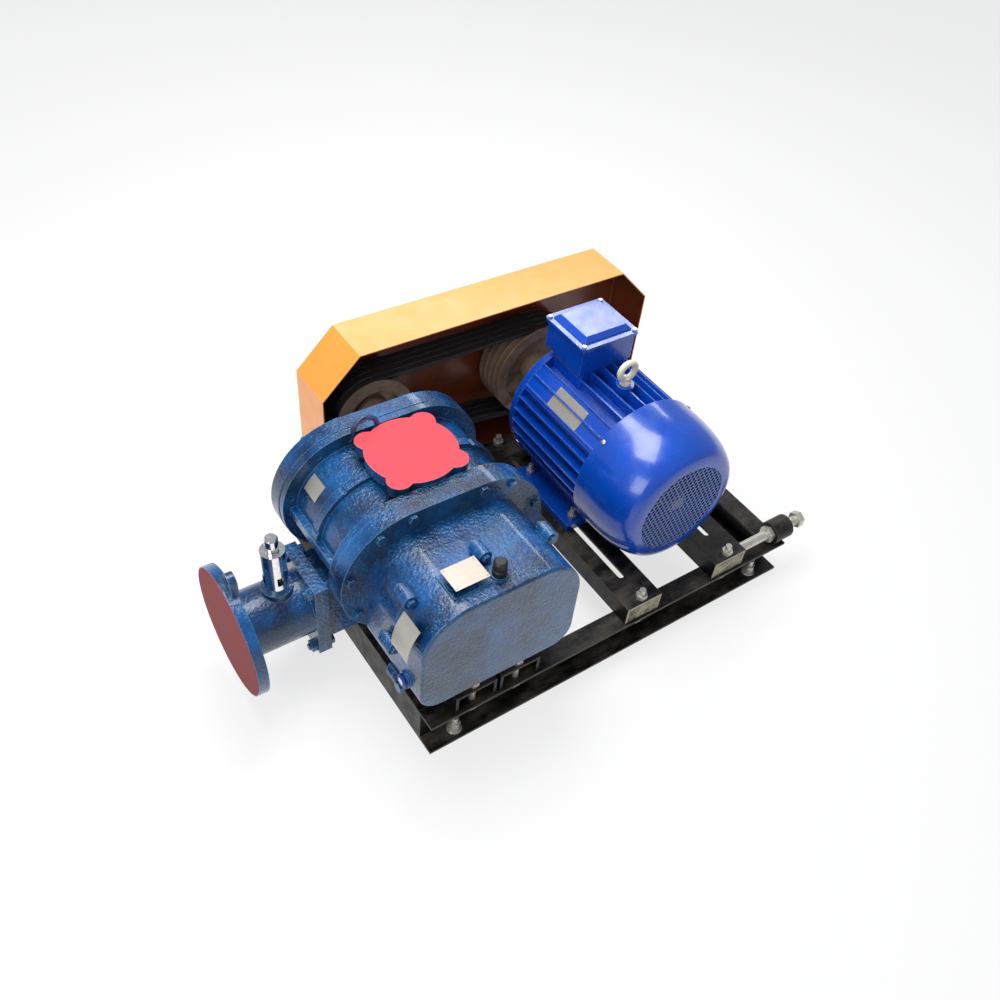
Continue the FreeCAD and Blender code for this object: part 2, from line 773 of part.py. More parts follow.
# Four lugs on the fan end bell carry the fan cover and leave the air its way out.
sheet_wall = D.fan_cover_sheet
cover_open = D.motor_face + D.fan_cover_length
cover_seat = D.fan_cover_radius - sheet_wall
cover_lug_width = 14.0
cover_lug_angle = 12.0
cover_lugs = []
for index in range(4):
    lug_sector = document.addObject("Part::Cylinder", "cover_lug_sector_%d" % index)
    lug_sector.setExpression("Radius", cover_seat.text)
    lug_sector.setExpression("Height", as_size(cover_lug_width).text)
    lug_sector.Angle = cover_lug_angle
    put(lug_sector, (D.motor_x, cover_open - cover_lug_width, axis_z),
        Rotation(Vector(0, 1, 0), 45 + 90 * index + cover_lug_angle / 2) * ALONG["Y"])
    cover_lugs.append(lug_sector)
lug_core = rod("cover_lug_core", D.barrel_radius - 10,
               (D.motor_x, cover_open - cover_lug_width - 1, axis_z),
               cover_lug_width + 2, "Y")
lug_set = without("cover_lugs", joined("cover_lug_sectors", cover_lugs), [lug_core])
listed(joined("fan_end_bell", [fan_bell, lug_set]))

core_start = barrel_start + 34
core_end = barrel_end - 34
bore_radius = 62.0
air_gap = 0.5
listed(turned("stator", motor_at, "Y", [
    (bore_radius, core_start), (stator_radius - D.seat_gap, core_start),
    (stator_radius - D.seat_gap, core_end), (bore_radius, core_end)]))
core_seat = shaft_radius + 4
listed(turned("rotor_core", motor_at, "Y", [
    (core_seat + D.seat_gap, core_start + 2), (bore_radius - air_gap, core_start + 2),
    (bore_radius - air_gap, core_end - 2), (core_seat + D.seat_gap, core_end - 2)]))
fan_start = D.motor_face + 16
fan_width = 46.0
listed(turned("motor_shaft", motor_at, "Y", steps([
    (fan_shaft - 2, fan_start - 4, fan_start + fan_width + 4),
    (fan_shaft, fan_start + fan_width + 4, core_start - 20),
    (core_seat, core_start - 20, core_end + 12),
    (shaft_radius, core_end + 12, shoulder_y + D.shaft_out)])))

fan_body = new_body("cooling_fan", (D.motor_x, fan_start, axis_z))
hub = new_sketch(fan_body, "fan_hub", "XZ_Plane")
circle(hub, 0, 0, fan_shaft + 6)
circle(hub, 0, 0, fan_shaft - 2 + D.seat_gap)
pad(fan_body, hub, fan_width, back=True)
disc = new_sketch(fan_body, "fan_disc", "XZ_Plane", -as_size(fan_width) + 3)
circle(disc, 0, 0, D.fan_cover_end - 14)
circle(disc, 0, 0, fan_shaft + 4)
pad(fan_body, disc, 3, back=True)
blade = new_sketch(fan_body, "fan_blade", "XZ_Plane")
outline(blade, [(fan_shaft + 4, -1.5), (D.fan_cover_end - 14, -1.5),
                (D.fan_cover_end - 14, 1.5), (fan_shaft + 4, 1.5)])
blade_pad = pad(fan_body, blade, fan_width - 2, back=True)
blades = fan_body.newObject("PartDesign::PolarPattern", "fan_blades")
blades.Originals = [blade_pad]
blades.Axis = (hub, ["N_Axis"])
blades.Angle = 360
blades.Occurrences = 7
fan_body.Tip = blades
listed(fan_body)

dome = [(0, 0), (D.fan_cover_end, 0), (D.fan_cover_end + 12, 8),
        (D.fan_cover_radius - 9, 44), (D.fan_cover_radius - 1, 88)]
outer_dome = [(radius, D.motor_face + station) for radius, station in dome]
outer_dome.append((D.fan_cover_radius, cover_open))
inner_dome = [(cover_seat, cover_open), (cover_seat, cover_open - cover_lug_width)]
for radius, station in reversed(dome[1:]):
    inner_dome.append((as_size(radius) - sheet_wall, D.motor_face + sheet_wall + station))
inner_dome.append((0, D.motor_face + sheet_wall))
cover_shell = turned("fan_cover_shell", motor_at, "Y", outer_dome + inner_dome)
hole_flats = 12.0
hole_pitch = 17.5
grille_radius = (D.fan_cover_end - 12).value
holes = []
rows = int(grille_radius / (hole_pitch * math.sqrt(0.75)))
for row in range(-rows, rows + 1):
    z = row * hole_pitch * math.sqrt(0.75)
    columns = int(grille_radius / hole_pitch) + 1
    for column in range(-columns, columns + 1):
        x = (column + (row % 2) / 2) * hole_pitch
        if math.hypot(x, z) < grille_radius - hole_flats / 2:
            corner = hexagon(hole_flats / ACROSS_FLATS, 8)
            holes.append(moved(corner, (x, -3, z), Rotation(Vector(1, 0, 0), -90)))
grille = free_shape("grille_holes", Part.makeCompound(holes), (D.motor_x, D.motor_face, axis_z))
listed(without("fan_cover", cover_shell, [grille]))

# Terminal box on the frame's neck, open at the top under its lid.
half_terminal = D.terminal_length / 2
half_box = D.terminal_width / 2
lid_z = D.terminal_top - D.terminal_lid
lid_lip = 6.0
box_wall = 4.0


def terminal_block(name, inset, bottom, top):
    return block(name, (D.motor_x - half_box + inset, D.motor_x + half_box - inset),
                 (D.terminal_y - half_terminal + inset, D.terminal_y + half_terminal - inset),
                 (bottom, top))


entry_z = terminal_base_z + 27
box_outer = terminal_block("box_outer", lid_lip, terminal_base_z, lid_z)
entry_boss = rod("entry_boss", 17, (D.motor_x + half_box - lid_lip - 1, D.terminal_y, entry_z),
                 11, "X")
box_inner = terminal_block("box_inner", lid_lip + box_wall, terminal_base_z + box_wall,
                           lid_z + 1)
entry_hole = rod("entry_hole", 12.5, (D.motor_x + half_box - lid_lip - box_wall - 1,
                                      D.terminal_y, entry_z), 20, "X")
listed(without("terminal_box", joined("box_body", [box_outer, entry_boss]),
               [box_inner, entry_hole]))

lid_body = new_body("terminal_lid", (D.motor_x, D.terminal_y, lid_z))
lid_plate = new_sketch(lid_body, "lid_plate", "XY_Plane")
outline(lid_plate, [(-half_box, -half_terminal), (half_box, -half_terminal),
                    (half_box, half_terminal), (-half_box, half_terminal)])
lid_base = pad(lid_body, lid_plate, lid_lip)
dress(lid_body, "Fillet", lid_base,
      lambda edge, middle: runs_along(edge, Vector(0, 0, 1)), 8)
raised = new_sketch(lid_body, "lid_panel", "XY_Plane", lid_lip)
panel_x = half_box - 12
panel_y = half_terminal - 12
outline(raised, [(-panel_x, -panel_y), (panel_x, -panel_y), (panel_x, panel_y),
                 (-panel_x, panel_y)])
lid_panel = pad(lid_body, raised, D.terminal_lid - lid_lip)
lid_top = D.terminal_lid.value
dress(lid_body, "Chamfer", lid_panel,
      lambda edge, middle: abs(edge.BoundBox.ZMin - lid_top) < 1e-6
      and abs(edge.BoundBox.ZMax - lid_top) < 1e-6, (D.terminal_lid - lid_lip) * 0.75)
listed(lid_body)

screw_size = 5.0
screw_inset = 7.5
lid_screws = []
for x_side in (-1, 1):
    for y_side in (-1, 1):
        spot = ((half_box.value - screw_inset) * x_side,
                (half_terminal.value - screw_inset) * y_side, 0)
        head_disc = Part.makeCylinder(screw_size * 0.9, 3.2, Vector(*spot))
        lid_screws.append(head_disc)
listed(free_shape("terminal_screws", Part.makeCompound(lid_screws),
                  (D.motor_x, D.terminal_y, lid_z + lid_lip)))

foot_places = [(x.value, y.value, (motor_rail_top - D.channel_wall).value)
               for x in motor_rail_x for y in foot_y]
listed(bolted_pairs("motor_foot_bolts", D.foot_bolt.value,
                    (D.channel_wall + D.foot_thickness).value, foot_places,
                    Vector(0, 0, -1), 14.0))


def eye_bolt(name, x, y, z, ring_radius, wire):
    """A lifting eye: collar on its seat at z, with a ring that stands along Y."""
    collar = rod(name + "_collar", ring_radius * 0.6, (x, y, z), 6)
    neck = rod(name + "_neck", wire * 1.3, (x, y, z), ring_radius * 0.5 + 6)
    eye = document.addObject("Part::Torus", name + "_ring")
    eye.Radius1 = ring_radius
    eye.Radius2 = wire
    put(eye, (x, y, z + 5 + ring_radius + wire), Rotation(Vector(1, 0, 0), 90))
    return listed(joined(name, [collar, neck, eye]))


eye_bolt("motor_eye_bolt", D.motor_x, eye_y, eye_pad_z, 17.0, 6.0)

# ------------------------------------------------------------- belt drive

datum_depth = 2.75
groove_depth = 13.0
groove_slope = math.tan(math.radians(18))
rim_thickness = 23.0


def pulley(name, datum, at_x, at_z, bore, hub_radius, hub_front, hub_back):
    """A grooved pulley: its front face is at station 0 of its own axis."""
    outer = datum / 2 + datum_depth
    half_top = D.belt_width / 2 - D.belt_proud * groove_slope + D.belt_gap
    half_bottom = half_top - groove_depth * groove_slope
    width = D.groove_edge * 2 + D.groove_pitch * (D.groove_count - 1)
    rim = outer - rim_thickness
    profile = [(bore, hub_front), (hub_radius, hub_front), (hub_radius, 18), (rim, 18),
               (rim, 0), (outer, 0)]
    for index in range(int(D.groove_count.value)):
        middle = D.groove_edge + D.groove_pitch * index
        profile += [(outer, middle - half_top), (outer - groove_depth, middle - half_bottom),
                    (outer - groove_depth, middle + half_bottom), (outer, middle + half_top)]
    profile += [(outer, width), (rim, width), (rim, 32), (hub_radius, 32),
                (hub_radius, hub_back), (bore, hub_back)]
    return listed(turned(name, (at_x, D.pulley_face, at_z), "Y", profile))


drive_x = D.pump_x + D.shaft_spacing / 2
driven_x = D.pump_x - D.shaft_spacing / 2
pump_nose = shaft_radius
pulley("motor_pulley", D.motor_datum, D.motor_x, axis_z, shaft_radius + D.seat_gap,
       36, -32, 38)
pulley("blower_pulley", D.blower_datum, drive_x, D.shaft_height, pump_nose + D.seat_gap,
       33, -6, 48)


def belt_loop(y):
    """One V-belt, taut round both pulleys, with its section centred on y."""
    small = (D.blower_datum / 2 + datum_depth + D.belt_proud).value
    large = (D.motor_datum / 2 + datum_depth + D.belt_proud).value
    near = Vector(drive_x.value, y, D.shaft_height.value)
    far = Vector(D.motor_x.value, y, axis_z.value)
    span = far - near
    lean = math.asin((large - small) / span.Length)
    heading = math.atan2(span.z, span.x)

    def on(centre, radius, angle):
        return centre + Vector(radius * math.cos(angle), 0, radius * math.sin(angle))

    up = heading + math.pi / 2 + lean
    down = heading - math.pi / 2 - lean
    upper = (on(near, small, up), on(far, large, up))
    lower = (on(near, small, down), on(far, large, down))
    path = Part.Wire([
        Part.LineSegment(upper[0], upper[1]).toShape(),
        Part.Arc(upper[1], on(far, large, heading), lower[1]).toShape(),
        Part.LineSegment(lower[1], lower[0]).toShape(),
        Part.Arc(lower[0], on(near, small, heading + math.pi), upper[0]).toShape()])
    inward = near - upper[0]
    inward.normalize()
    across = Vector(0, 1, 0)
    top = D.belt_width.value / 2
    bottom = top - D.belt_height.value * groove_slope
    start = upper[0]
    depth = inward * D.belt_height.value
    section = Part.makePolygon([start - across * top, start + across * top,
                                start + depth + across * bottom,
                                start + depth - across * bottom, start - across * top])
    return path.makePipeShell([section], True, True)


belts = []
for index in range(int(D.groove_count.value)):
    belts.append(belt_loop((D.pulley_face + D.groove_edge + D.groove_pitch * index).value))
listed(free_shape("v_belts", Part.makeCompound(belts)))

# ------------------------------------------------------------- belt guard

guard_bottom = D.channel_depth + D.bracket_thickness
corner_z = D.guard_top - D.guard_chamfer
guard_body = new_body("belt_guard", (0, D.guard_face, 0))
shape = new_sketch(guard_body, "guard_outline", "XZ_Plane")
outline(shape, [(D.guard_left, guard_bottom), (D.guard_right, guard_bottom),
                (D.guard_right, corner_z), (D.guard_right - D.guard_chamfer, D.guard_top),
                (D.guard_left + D.guard_chamfer, D.guard_top), (D.guard_left, corner_z)])
pad(guard_body, shape, D.guard_depth, back=True)
inside = new_sketch(guard_body, "guard_inside", "XZ_Plane")
tuck = D.guard_sheet * (math.sqrt(2) - 1)
low = guard_bottom + D.guard_sheet
high = D.guard_top - D.guard_sheet
left_in = D.guard_left + D.guard_sheet
right_in = D.guard_right - D.guard_sheet
outline(inside, [(left_in, low), (right_in, low), (right_in, corner_z - tuck),
                 (D.guard_right - D.guard_chamfer - tuck, high),
                 (D.guard_left + D.guard_chamfer + tuck, high), (left_in, corner_z - tuck)])
pocket(guard_body, inside, D.guard_depth - D.guard_sheet, back=False)
clear_rails = new_sketch(guard_body, "guard_floor_cut", "XY_Plane", guard_bottom)
rail_notch = 12.0
outline(clear_rails, [(D.guard_left - 1, -1), (D.guard_right + 1, -1),
                      (D.guard_right + 1, rail_notch), (D.guard_left - 1, rail_notch)])
pocket(guard_body, clear_rails, rail_top + 4 - guard_bottom, back=True)
guard_holes = new_sketch(guard_body, "guard_bolt_holes", "XY_Plane", guard_bottom)
guard_hole_y = 64.0
for x in bracket_x:
    circle(guard_holes, x, guard_hole_y, bracket_bolt / 2 + 0.5)
pocket(guard_body, guard_holes, D.guard_sheet, back=True)
listed(guard_body)

brackets = []
rail_hole_y = half_width - bracket_hole_inset
bracket_end = D.guard_face + guard_hole_y + 16
for index, x in enumerate(bracket_x):
    bar = block("bracket_bar_%d" % index,
                (x - D.bracket_width / 2, x + D.bracket_width / 2),
                (half_width - D.channel_flange + 2, bracket_end),
                (D.channel_depth, guard_bottom))
    pins = [rod("bracket_hole_%d_%d" % (index, side), bracket_bolt / 2 + 0.5,
                (x, y, D.channel_depth - 1), D.bracket_thickness + 2)
            for side, y in enumerate((rail_hole_y, D.guard_face + guard_hole_y))]
    brackets.append(without("bracket_%d" % index, bar, pins))
bracket_pair = document.addObject("Part::Compound", "guard_brackets")
bracket_pair.Links = brackets
listed(bracket_pair)

guard_pairs = []
for x in bracket_x:
    for y, seat, grip in ((rail_hole_y.value, guard_bottom.value,
                           (D.bracket_thickness + D.channel_wall).value),
                          ((D.guard_face + guard_hole_y).value,
                           (guard_bottom + D.guard_sheet).value,
                           (D.bracket_thickness + D.guard_sheet).value)):
        guard_pairs.append(moved(bolt(bracket_bolt, grip + 10), (x, y, seat)))
        guard_pairs.append(moved(nut(bracket_bolt), (x, y, seat - grip),
                                 facing(Vector(0, 0, -1))))
listed(free_shape("guard_bolts", Part.makeCompound(guard_pairs)))

# ------------------------------------------------------------------- pump

pitch_radius = D.shaft_spacing / 2
rolling_radius = pitch_radius / 6
lobe_tip = pitch_radius + rolling_radius * 2
bore_radius_pump = lobe_tip + D.bore_gap
casing_radius = bore_radius_pump + D.casing_wall
shaft_places = (("left", driven_x), ("right", drive_x))


def stadium(name, radius, start, length):
    """A slab round both shafts with round ends, square to the shafts."""
    pieces = [rod(name + "_" + side, radius, (x, start, D.shaft_height), length, "Y")
              for side, x in shaft_places]
    pieces.append(block(name + "_middle", (driven_x, drive_x), (start, start + length),
                        (D.shaft_height - radius, D.shaft_height + radius)))
    return pieces


def gear_case_block(name, start, depth, shrink):
    """The gear case's outline as a block: round shoulders above, a sump below."""
    body = new_body(name, (D.pump_x, start, 0))
    reach = pitch_radius + D.gear_case_overhang - shrink
    top = D.shaft_height + D.gear_case_overhang - shrink
    bottom = D.gear_case_bottom + shrink
    sketch = new_sketch(body, name + "_outline", "XZ_Plane")
    outline(sketch, [(-reach, bottom), (reach, bottom), (reach, top), (-reach, top)])
    base = pad(body, sketch, depth, back=True)
    middle_z = (D.shaft_height - 20).value
    shoulders = dress(body, "Fillet", base,
                      lambda edge, middle: runs_along(edge, Vector(0, 1, 0))
                      and middle.z > middle_z, D.gear_case_overhang - shrink)
    dress(body, "Fillet", shoulders,
          lambda edge, middle: runs_along(edge, Vector(0, 1, 0)) and middle.z < middle_z
          and middle.z < bottom.value + 1, D.gear_case_corner - shrink)
    return body


lug_radius = 12.0
lug_stand = 9.0
lug_depth = 15.0
cover_joint_y = D.cover_face + D.cover_depth
lug_reach = pitch_radius + D.gear_case_overhang
lug_diagonal = math.sqrt(0.5)
shoulder_lug = (D.gear_case_overhang + lug_stand) * lug_diagonal
sump_centre = D.gear_case_bottom + D.gear_case_corner - D.shaft_height
sump_lug = (D.gear_case_corner + lug_stand) * lug_diagonal
lug_spots = [(as_size(0), D.gear_case_overhang + lug_stand)]
for side in (-1, 1):
    lug_spots.append(((pitch_radius + shoulder_lug) * side, shoulder_lug))
    lug_spots.append(((lug_reach + lug_stand) * side, as_size(-30)))
    lug_spots.append(((lug_reach - D.gear_case_corner + sump_lug) * side,
                      sump_centre - sump_lug))


def lugs(name, start):
    return [rod("%s_lug_%d" % (name, index), lug_radius,
                (D.pump_x + x, start, D.shaft_height + z), lug_depth, "Y")
            for index, (x, z) in enumerate(lug_spots)]


lug_bolt = 8.0


def lug_holes(name, start):
    return [rod("%s_hole_%d" % (name, index), lug_bolt / 2 + 0.5,
                (D.pump_x + x, start - 1, D.shaft_height + z), lug_depth + 2, "Y")
            for index, (x, z) in enumerate(lug_spots)]


# Gear cover: a deep dish over the timing gears, with the oil fittings' seats.
breather_x = D.pump_x + 5
breather_y = D.cover_face + 35
breather_z = D.shaft_height + D.gear_case_overhang + 4
cover_outer = gear_case_block("cover_outer", D.cover_face, D.cover_depth, 0)
dress(cover_outer, "Fillet", cover_outer.Tip,
      lambda edge, middle: abs(edge.BoundBox.YMax) < 1e-6
      and abs(edge.BoundBox.YMin) < 1e-6, 5)
cover_inner = gear_case_block("cover_inner", D.cover_face + D.gear_case_wall,
                              D.cover_depth, D.gear_case_wall)
breather_seat = rod("breather_seat", 15, (breather_x, breather_y, breather_z - 12), 12)
sight_x = D.pump_x - lug_reach
sight_y = D.cover_face + 44
sight_z = 192.0
drain_z = D.gear_case_bottom + 18
sight_boss = rod("sight_boss", 15, (sight_x - 4, sight_y, sight_z), 8, "X")
drain_boss = rod("drain_boss", 9, (sight_x - 4, sight_y + 8, drain_z), 12, "X")
badge_seat = block("badge_seat", (D.pump_x - 81, D.pump_x - 13),
                   (D.cover_face + 25, D.cover_face + 77),
                   (breather_z - 16, breather_z - 1))
cover_cast = joined("cover_cast", [cover_outer, breather_seat, sight_boss, drain_boss,
                                   badge_seat] + lugs("cover", cover_joint_y - lug_depth))
cover_cuts = [cover_inner, rod("breather_hole", 7, (breather_x, breather_y, breather_z - 30), 31),
              rod("sight_hole", 8, (sight_x - 5, sight_y, sight_z), 20, "X"),
              rod("drain_hole", 6, (sight_x - 5, sight_y + 8, drain_z), 20, "X")]
cover_cuts += lug_holes("cover", cover_joint_y - lug_depth)
listed(without("gear_cover", cover_cast, cover_cuts))

housing_outer = gear_case_block("housing_outer", cover_joint_y, D.housing_depth, 0)
housing_inner = gear_case_block("housing_inner", cover_joint_y - 1,
                                D.housing_depth - 11, D.gear_case_wall)
housing_cast = joined("housing_cast", [housing_outer] + lugs("housing", cover_joint_y))
housing_cuts = [housing_inner] + lug_holes("housing", cover_joint_y)
housing_cuts += [rod("housing_bore_" + side, D.bearing_outer / 2 + 1,
                     (x, plate_y - 13, D.shaft_height), 14, "Y") for side, x in shaft_places]
listed(without("gear_housing", housing_cast, housing_cuts))

lug_bolts = []
for x, z in lug_spots:
    seat = ((D.pump_x + x).value, (cover_joint_y - lug_depth).value,
            (D.shaft_height + z).value)
    lug_bolts.append(moved(bolt(lug_bolt, lug_depth * 2 + 9), seat, facing(Vector(0, -1, 0))))
    back = (seat[0], seat[1] + lug_depth * 2, seat[2])
    lug_bolts.append(moved(nut(lug_bolt), back, facing(Vector(0, 1, 0))))
listed(free_shape("gear_cover_bolts", Part.makeCompound(lug_bolts)))

foot_plate = 16.0
foot_width = D.pump_foot_spread + 50
plate_bolt = 10.0
plate_bolt_circle = D.plate_radius - 13


def plate_bolt_spots():
    """Bolt places round an end plate's two round ends, clear of the gear case's sides."""
    spots = []
    for x, sign in ((driven_x, -1), (drive_x, 1)):
        for angle in (-30, 15, 60, 90):
            turn = math.radians(angle)
            reach = plate_bolt_circle * math.cos(turn) * sign
            spots.append((x + reach, D.shaft_height + plate_bolt_circle * math.sin(turn)))
    return spots


def end_plate(name, start, outer_side):
    """An end plate with its bearing seats and its foot; the bearings sit on the outer side."""
    plate = joined(name + "_slab", stadium(name, D.plate_radius, start, D.plate_thickness))
    leg = block(name + "_leg", (D.pump_x - foot_width / 2, D.pump_x + foot_width / 2),
                (start, start + D.plate_thickness), (rail_top, D.shaft_height - 60))
    foot_from = start - foot_reach if outer_side < 0 else start
    foot = block(name + "_foot", (D.pump_x - foot_width / 2, D.pump_x + foot_width / 2),
                 (foot_from, foot_from + D.plate_thickness + foot_reach),
                 (rail_top, rail_top + foot_plate))
    seat_start = start if outer_side < 0 else start + D.plate_thickness - D.bearing_width
    cuts = []
    for side, x in shaft_places:
        cuts.append(rod(name + "_seal_bore_" + side, D.seal_outer / 2 + D.seat_gap,
                        (x, start - 1, D.shaft_height), D.plate_thickness + 2, "Y"))
        cuts.append(rod(name + "_bearing_seat_" + side, D.bearing_outer / 2 + D.seat_gap,
                        (x, seat_start, D.shaft_height), D.bearing_width, "Y"))
    for index, (x, z) in enumerate(plate_bolt_spots()):
        cuts.append(rod("%s_bolt_hole_%d" % (name, index), plate_bolt / 2 + 0.5,
                        (x, start - 1, z), D.plate_thickness + 2, "Y"))
    bolt_y = start - foot_reach / 2 if outer_side < 0 else (
        start + D.plate_thickness + foot_reach / 2)
    for index, x in enumerate(pump_foot_x):
        cuts.append(rod("%s_foot_hole_%d" % (name, index), D.clamp_bolt / 2 + 0.5,
                        (x, bolt_y, rail_top - 1), foot_plate + 2))
    return listed(without(name, joined(name + "_cast", [plate, leg, foot]), cuts))


end_plate("front_end_plate", plate_y, -1)
end_plate("rear_end_plate", rear_plate_y, 1)

# Rotor casing: a round-ended barrel with end flanges, a middle rib, side ledges and ports.
flange_width = 14.0
rib_half = 8.0
middle_y = casing_y + D.rotor_length / 2
port_bore = D.inlet_bore / 2
ledge = 9.0
cast = stadium("casing_barrel", casing_radius, casing_y, D.rotor_length)
cast += stadium("casing_rib", casing_radius + D.casing_rib, middle_y - rib_half, rib_half * 2)
for label, start in (("front", casing_y), ("rear", rear_plate_y - flange_width)):
    cast += stadium("casing_flange_" + label, D.plate_radius - 1, start, flange_width)
for label, side in (("left", -1), ("right", 1)):
    outer = D.pump_x + (pitch_radius + casing_radius + 12) * side
    inner = D.pump_x + (pitch_radius + casing_radius - 8) * side
    ends = sorted([outer, inner], key=lambda size: size.value)
    cast.append(block("casing_ledge_" + label, ends, (casing_y, rear_plate_y),
                      (D.shaft_height - ledge, D.shaft_height + ledge)))
inlet_under = D.inlet_face - D.inlet_thickness
cast.append(rod("inlet_neck", port_bore + 14, (D.pump_x, D.port_y, D.shaft_height + 70),
                inlet_under - D.shaft_height - 69))
cast.append(rod("inlet_disc", D.inlet_radius, (D.pump_x, D.port_y, inlet_under),
                D.inlet_thickness))
ear_spots = []
for corner in range(4):
    turn = math.radians(45 + 90 * corner)
    ear_spots.append((D.pump_x + D.inlet_pcd / 2 * math.cos(turn),
                      D.port_y + D.inlet_pcd / 2 * math.sin(turn)))
for index, (x, y) in enumerate(ear_spots):
    cast.append(rod("inlet_ear_%d" % index, D.inlet_ear, (x, y, inlet_under),
                    D.inlet_thickness))
duct_top = D.shaft_height - casing_radius - 5
cast.append(block("outlet_seat", (D.pump_x - 80, D.pump_x + 80),
                  (D.port_y - 60, D.port_y + 60), (duct_top, D.shaft_height - 60)))
eye_spot = (D.pump_x - 34, rear_plate_y - 23)
eye_seat_z = D.shaft_height + casing_radius + 4
cast.append(rod("eye_seat", 12, (eye_spot[0], eye_spot[1], eye_seat_z - 20), 20))
cuts = [rod("casing_bore_" + side, bore_radius_pump, (x, casing_y - 1, D.shaft_height),
            D.rotor_length + 2, "Y") for side, x in shaft_places]
cuts.append(rod("inlet_port", port_bore, (D.pump_x, D.port_y, D.shaft_height + 20),
                D.inlet_face - D.shaft_height))
cuts.append(block("outlet_seat_face", (D.pump_x - 81, D.pump_x + 81),
                  (D.port_y - 61, D.port_y + 61),
                  (duct_top - 20, duct_top)))
cuts.append(block("outlet_port", (D.pump_x - 40, D.pump_x + 40),
                  (D.port_y - 40, D.port_y + 40), (duct_top - 1, D.shaft_height - 30)))
for index, (x, y) in enumerate(ear_spots):
    cuts.append(rod("inlet_hole_%d" % index, D.inlet_hole / 2, (x, y, inlet_under - 1),
                    D.inlet_thickness + 2))
for index, (x, z) in enumerate(plate_bolt_spots()):
    cuts.append(rod("flange_hole_%d" % index, plate_bolt / 2 + 0.5, (x, casing_y - 1, z),
                    D.rotor_length + 2, "Y"))
listed(without("rotor_casing", joined("casing_cast", cast), cuts))

plate_bolts = []
for start, sign in ((plate_y, -1), (rear_face_y, 1)):
    for x, z in plate_bolt_spots():
        seat = (x.value, start.value, z.value)
        plate_bolts.append(moved(bolt(plate_bolt, (D.plate_thickness + flange_width).value - 1),
                                 seat, facing(Vector(0, sign, 0))))
foot_bolts = []
for y in pump_foot_y:
    for x in pump_foot_x:
        seat = (x.value, y.value, (rail_top + foot_plate).value)
        grip = foot_plate + D.channel_wall.value
        foot_bolts.append(moved(bolt(D.clamp_bolt.value, grip + 14), seat))
        foot_bolts.append(moved(nut(D.clamp_bolt.value), (seat[0], seat[1], seat[2] - grip),
                                facing(Vector(0, 0, -1))))
listed(free_shape("end_plate_bolts", Part.makeCompound(plate_bolts)))
listed(free_shape("pump_foot_bolts", Part.makeCompound(foot_bolts)))

# Bearings and lip seals: four of each, one pair in each end plate.
journal_radius = D.journal / 2
seal_width = D.plate_thickness - D.bearing_width


def rings(name, outer_radius, width, starts):
    """Four equal rings on the two shafts, each start along Y."""
    pieces = []
    for start in starts:
        for side, x in shaft_places:
            label = "%s_%s_%d" % (name, side, len(pieces))
            outer = rod(label + "_outer", outer_radius, (x, start, D.shaft_height), width, "Y")
            hole = rod(label + "_hole", journal_radius + D.running_gap,
                       (x, start - 1, D.shaft_height), as_size(width) + 2, "Y")
            pieces.append(without(label, outer, [hole]))
    group = document.addObject("Part::Compound", name)
    group.Links = pieces
    return listed(group)


rings("bearings", D.bearing_outer / 2, D.bearing_width,
      (plate_y, rear_face_y - D.bearing_width))
rings("shaft_seals", D.seal_outer / 2, seal_width,
      (plate_y + D.bearing_width, rear_plate_y))

cap_radius = 56.0
listed(turned("drive_bearing_cover", (drive_x, rear_face_y, D.shaft_height), "Y", [
    (pump_nose + 1, 0), (cap_radius, 0), (cap_radius, 10), (44, 14), (40, 34),
    (pump_nose + 1, 34)]))
listed(turned("driven_bearing_cover", (driven_x, rear_face_y, D.shaft_height), "Y", [
    (0, 14), (journal_radius + 3, 14), (journal_radius + 3, 0), (cap_radius, 0),
    (cap_radius, 10), (44, 14), (38, 22), (0, 22)]))


def three_lobes(shrink):
    """The rotor's outline: rolled arches outside and inside the pitch circle.

    Each point's normal runs through the rolling circle's contact point, so the
    outline is drawn in along it by the clearance. Arcs run through the points."""
    pitch = pitch_radius.value
    rolling = rolling_radius.value
    spans = 8
    edges = []
    for arch in range(6):
        sign = 1 if arch % 2 == 0 else -1
        first = math.radians(30 + 60 * arch)
        points = []
        for step in range(spans + 1):
            roll = 2 * math.pi * step / spans
            turn = first + roll * rolling / pitch
            outward = Vector(math.cos(turn), math.sin(turn), 0)
            forward = Vector(-math.sin(turn), math.cos(turn), 0)
            contact = outward * pitch
            spin = turn + sign * roll
            radial = Vector(math.cos(spin), math.sin(spin), 0)
            point = outward * (pitch + sign * rolling) - radial * (sign * rolling)
            if step in (0, spans):
                normal = forward * (-sign if step == 0 else sign)
            else:
                normal = (point - contact) * sign
                normal.normalize()
            points.append(point - normal * shrink)
        for step in range(0, spans, 2):
            edges.append(Part.Arc(*points[step:step + 3]).toShape())
    return Part.Wire(edges)


def impeller(name, x):
    face = Part.Face(three_lobes(D.rotor_clearance.value))
    length = (D.rotor_length - D.end_gap * 2).value
    body = face.extrude(Vector(0, 0, length))
    hole = Part.makeCylinder((D.rotor_seat / 2 + D.seat_gap).value, length)
    shape = body.cut(hole)
    shape.Placement = FreeCAD.Placement(Vector(), ALONG["Y"])
    return listed(free_shape(name, shape, (x, casing_y + D.end_gap, D.shaft_height)))


impeller("drive_impeller", drive_x)
impeller("driven_impeller", driven_x)


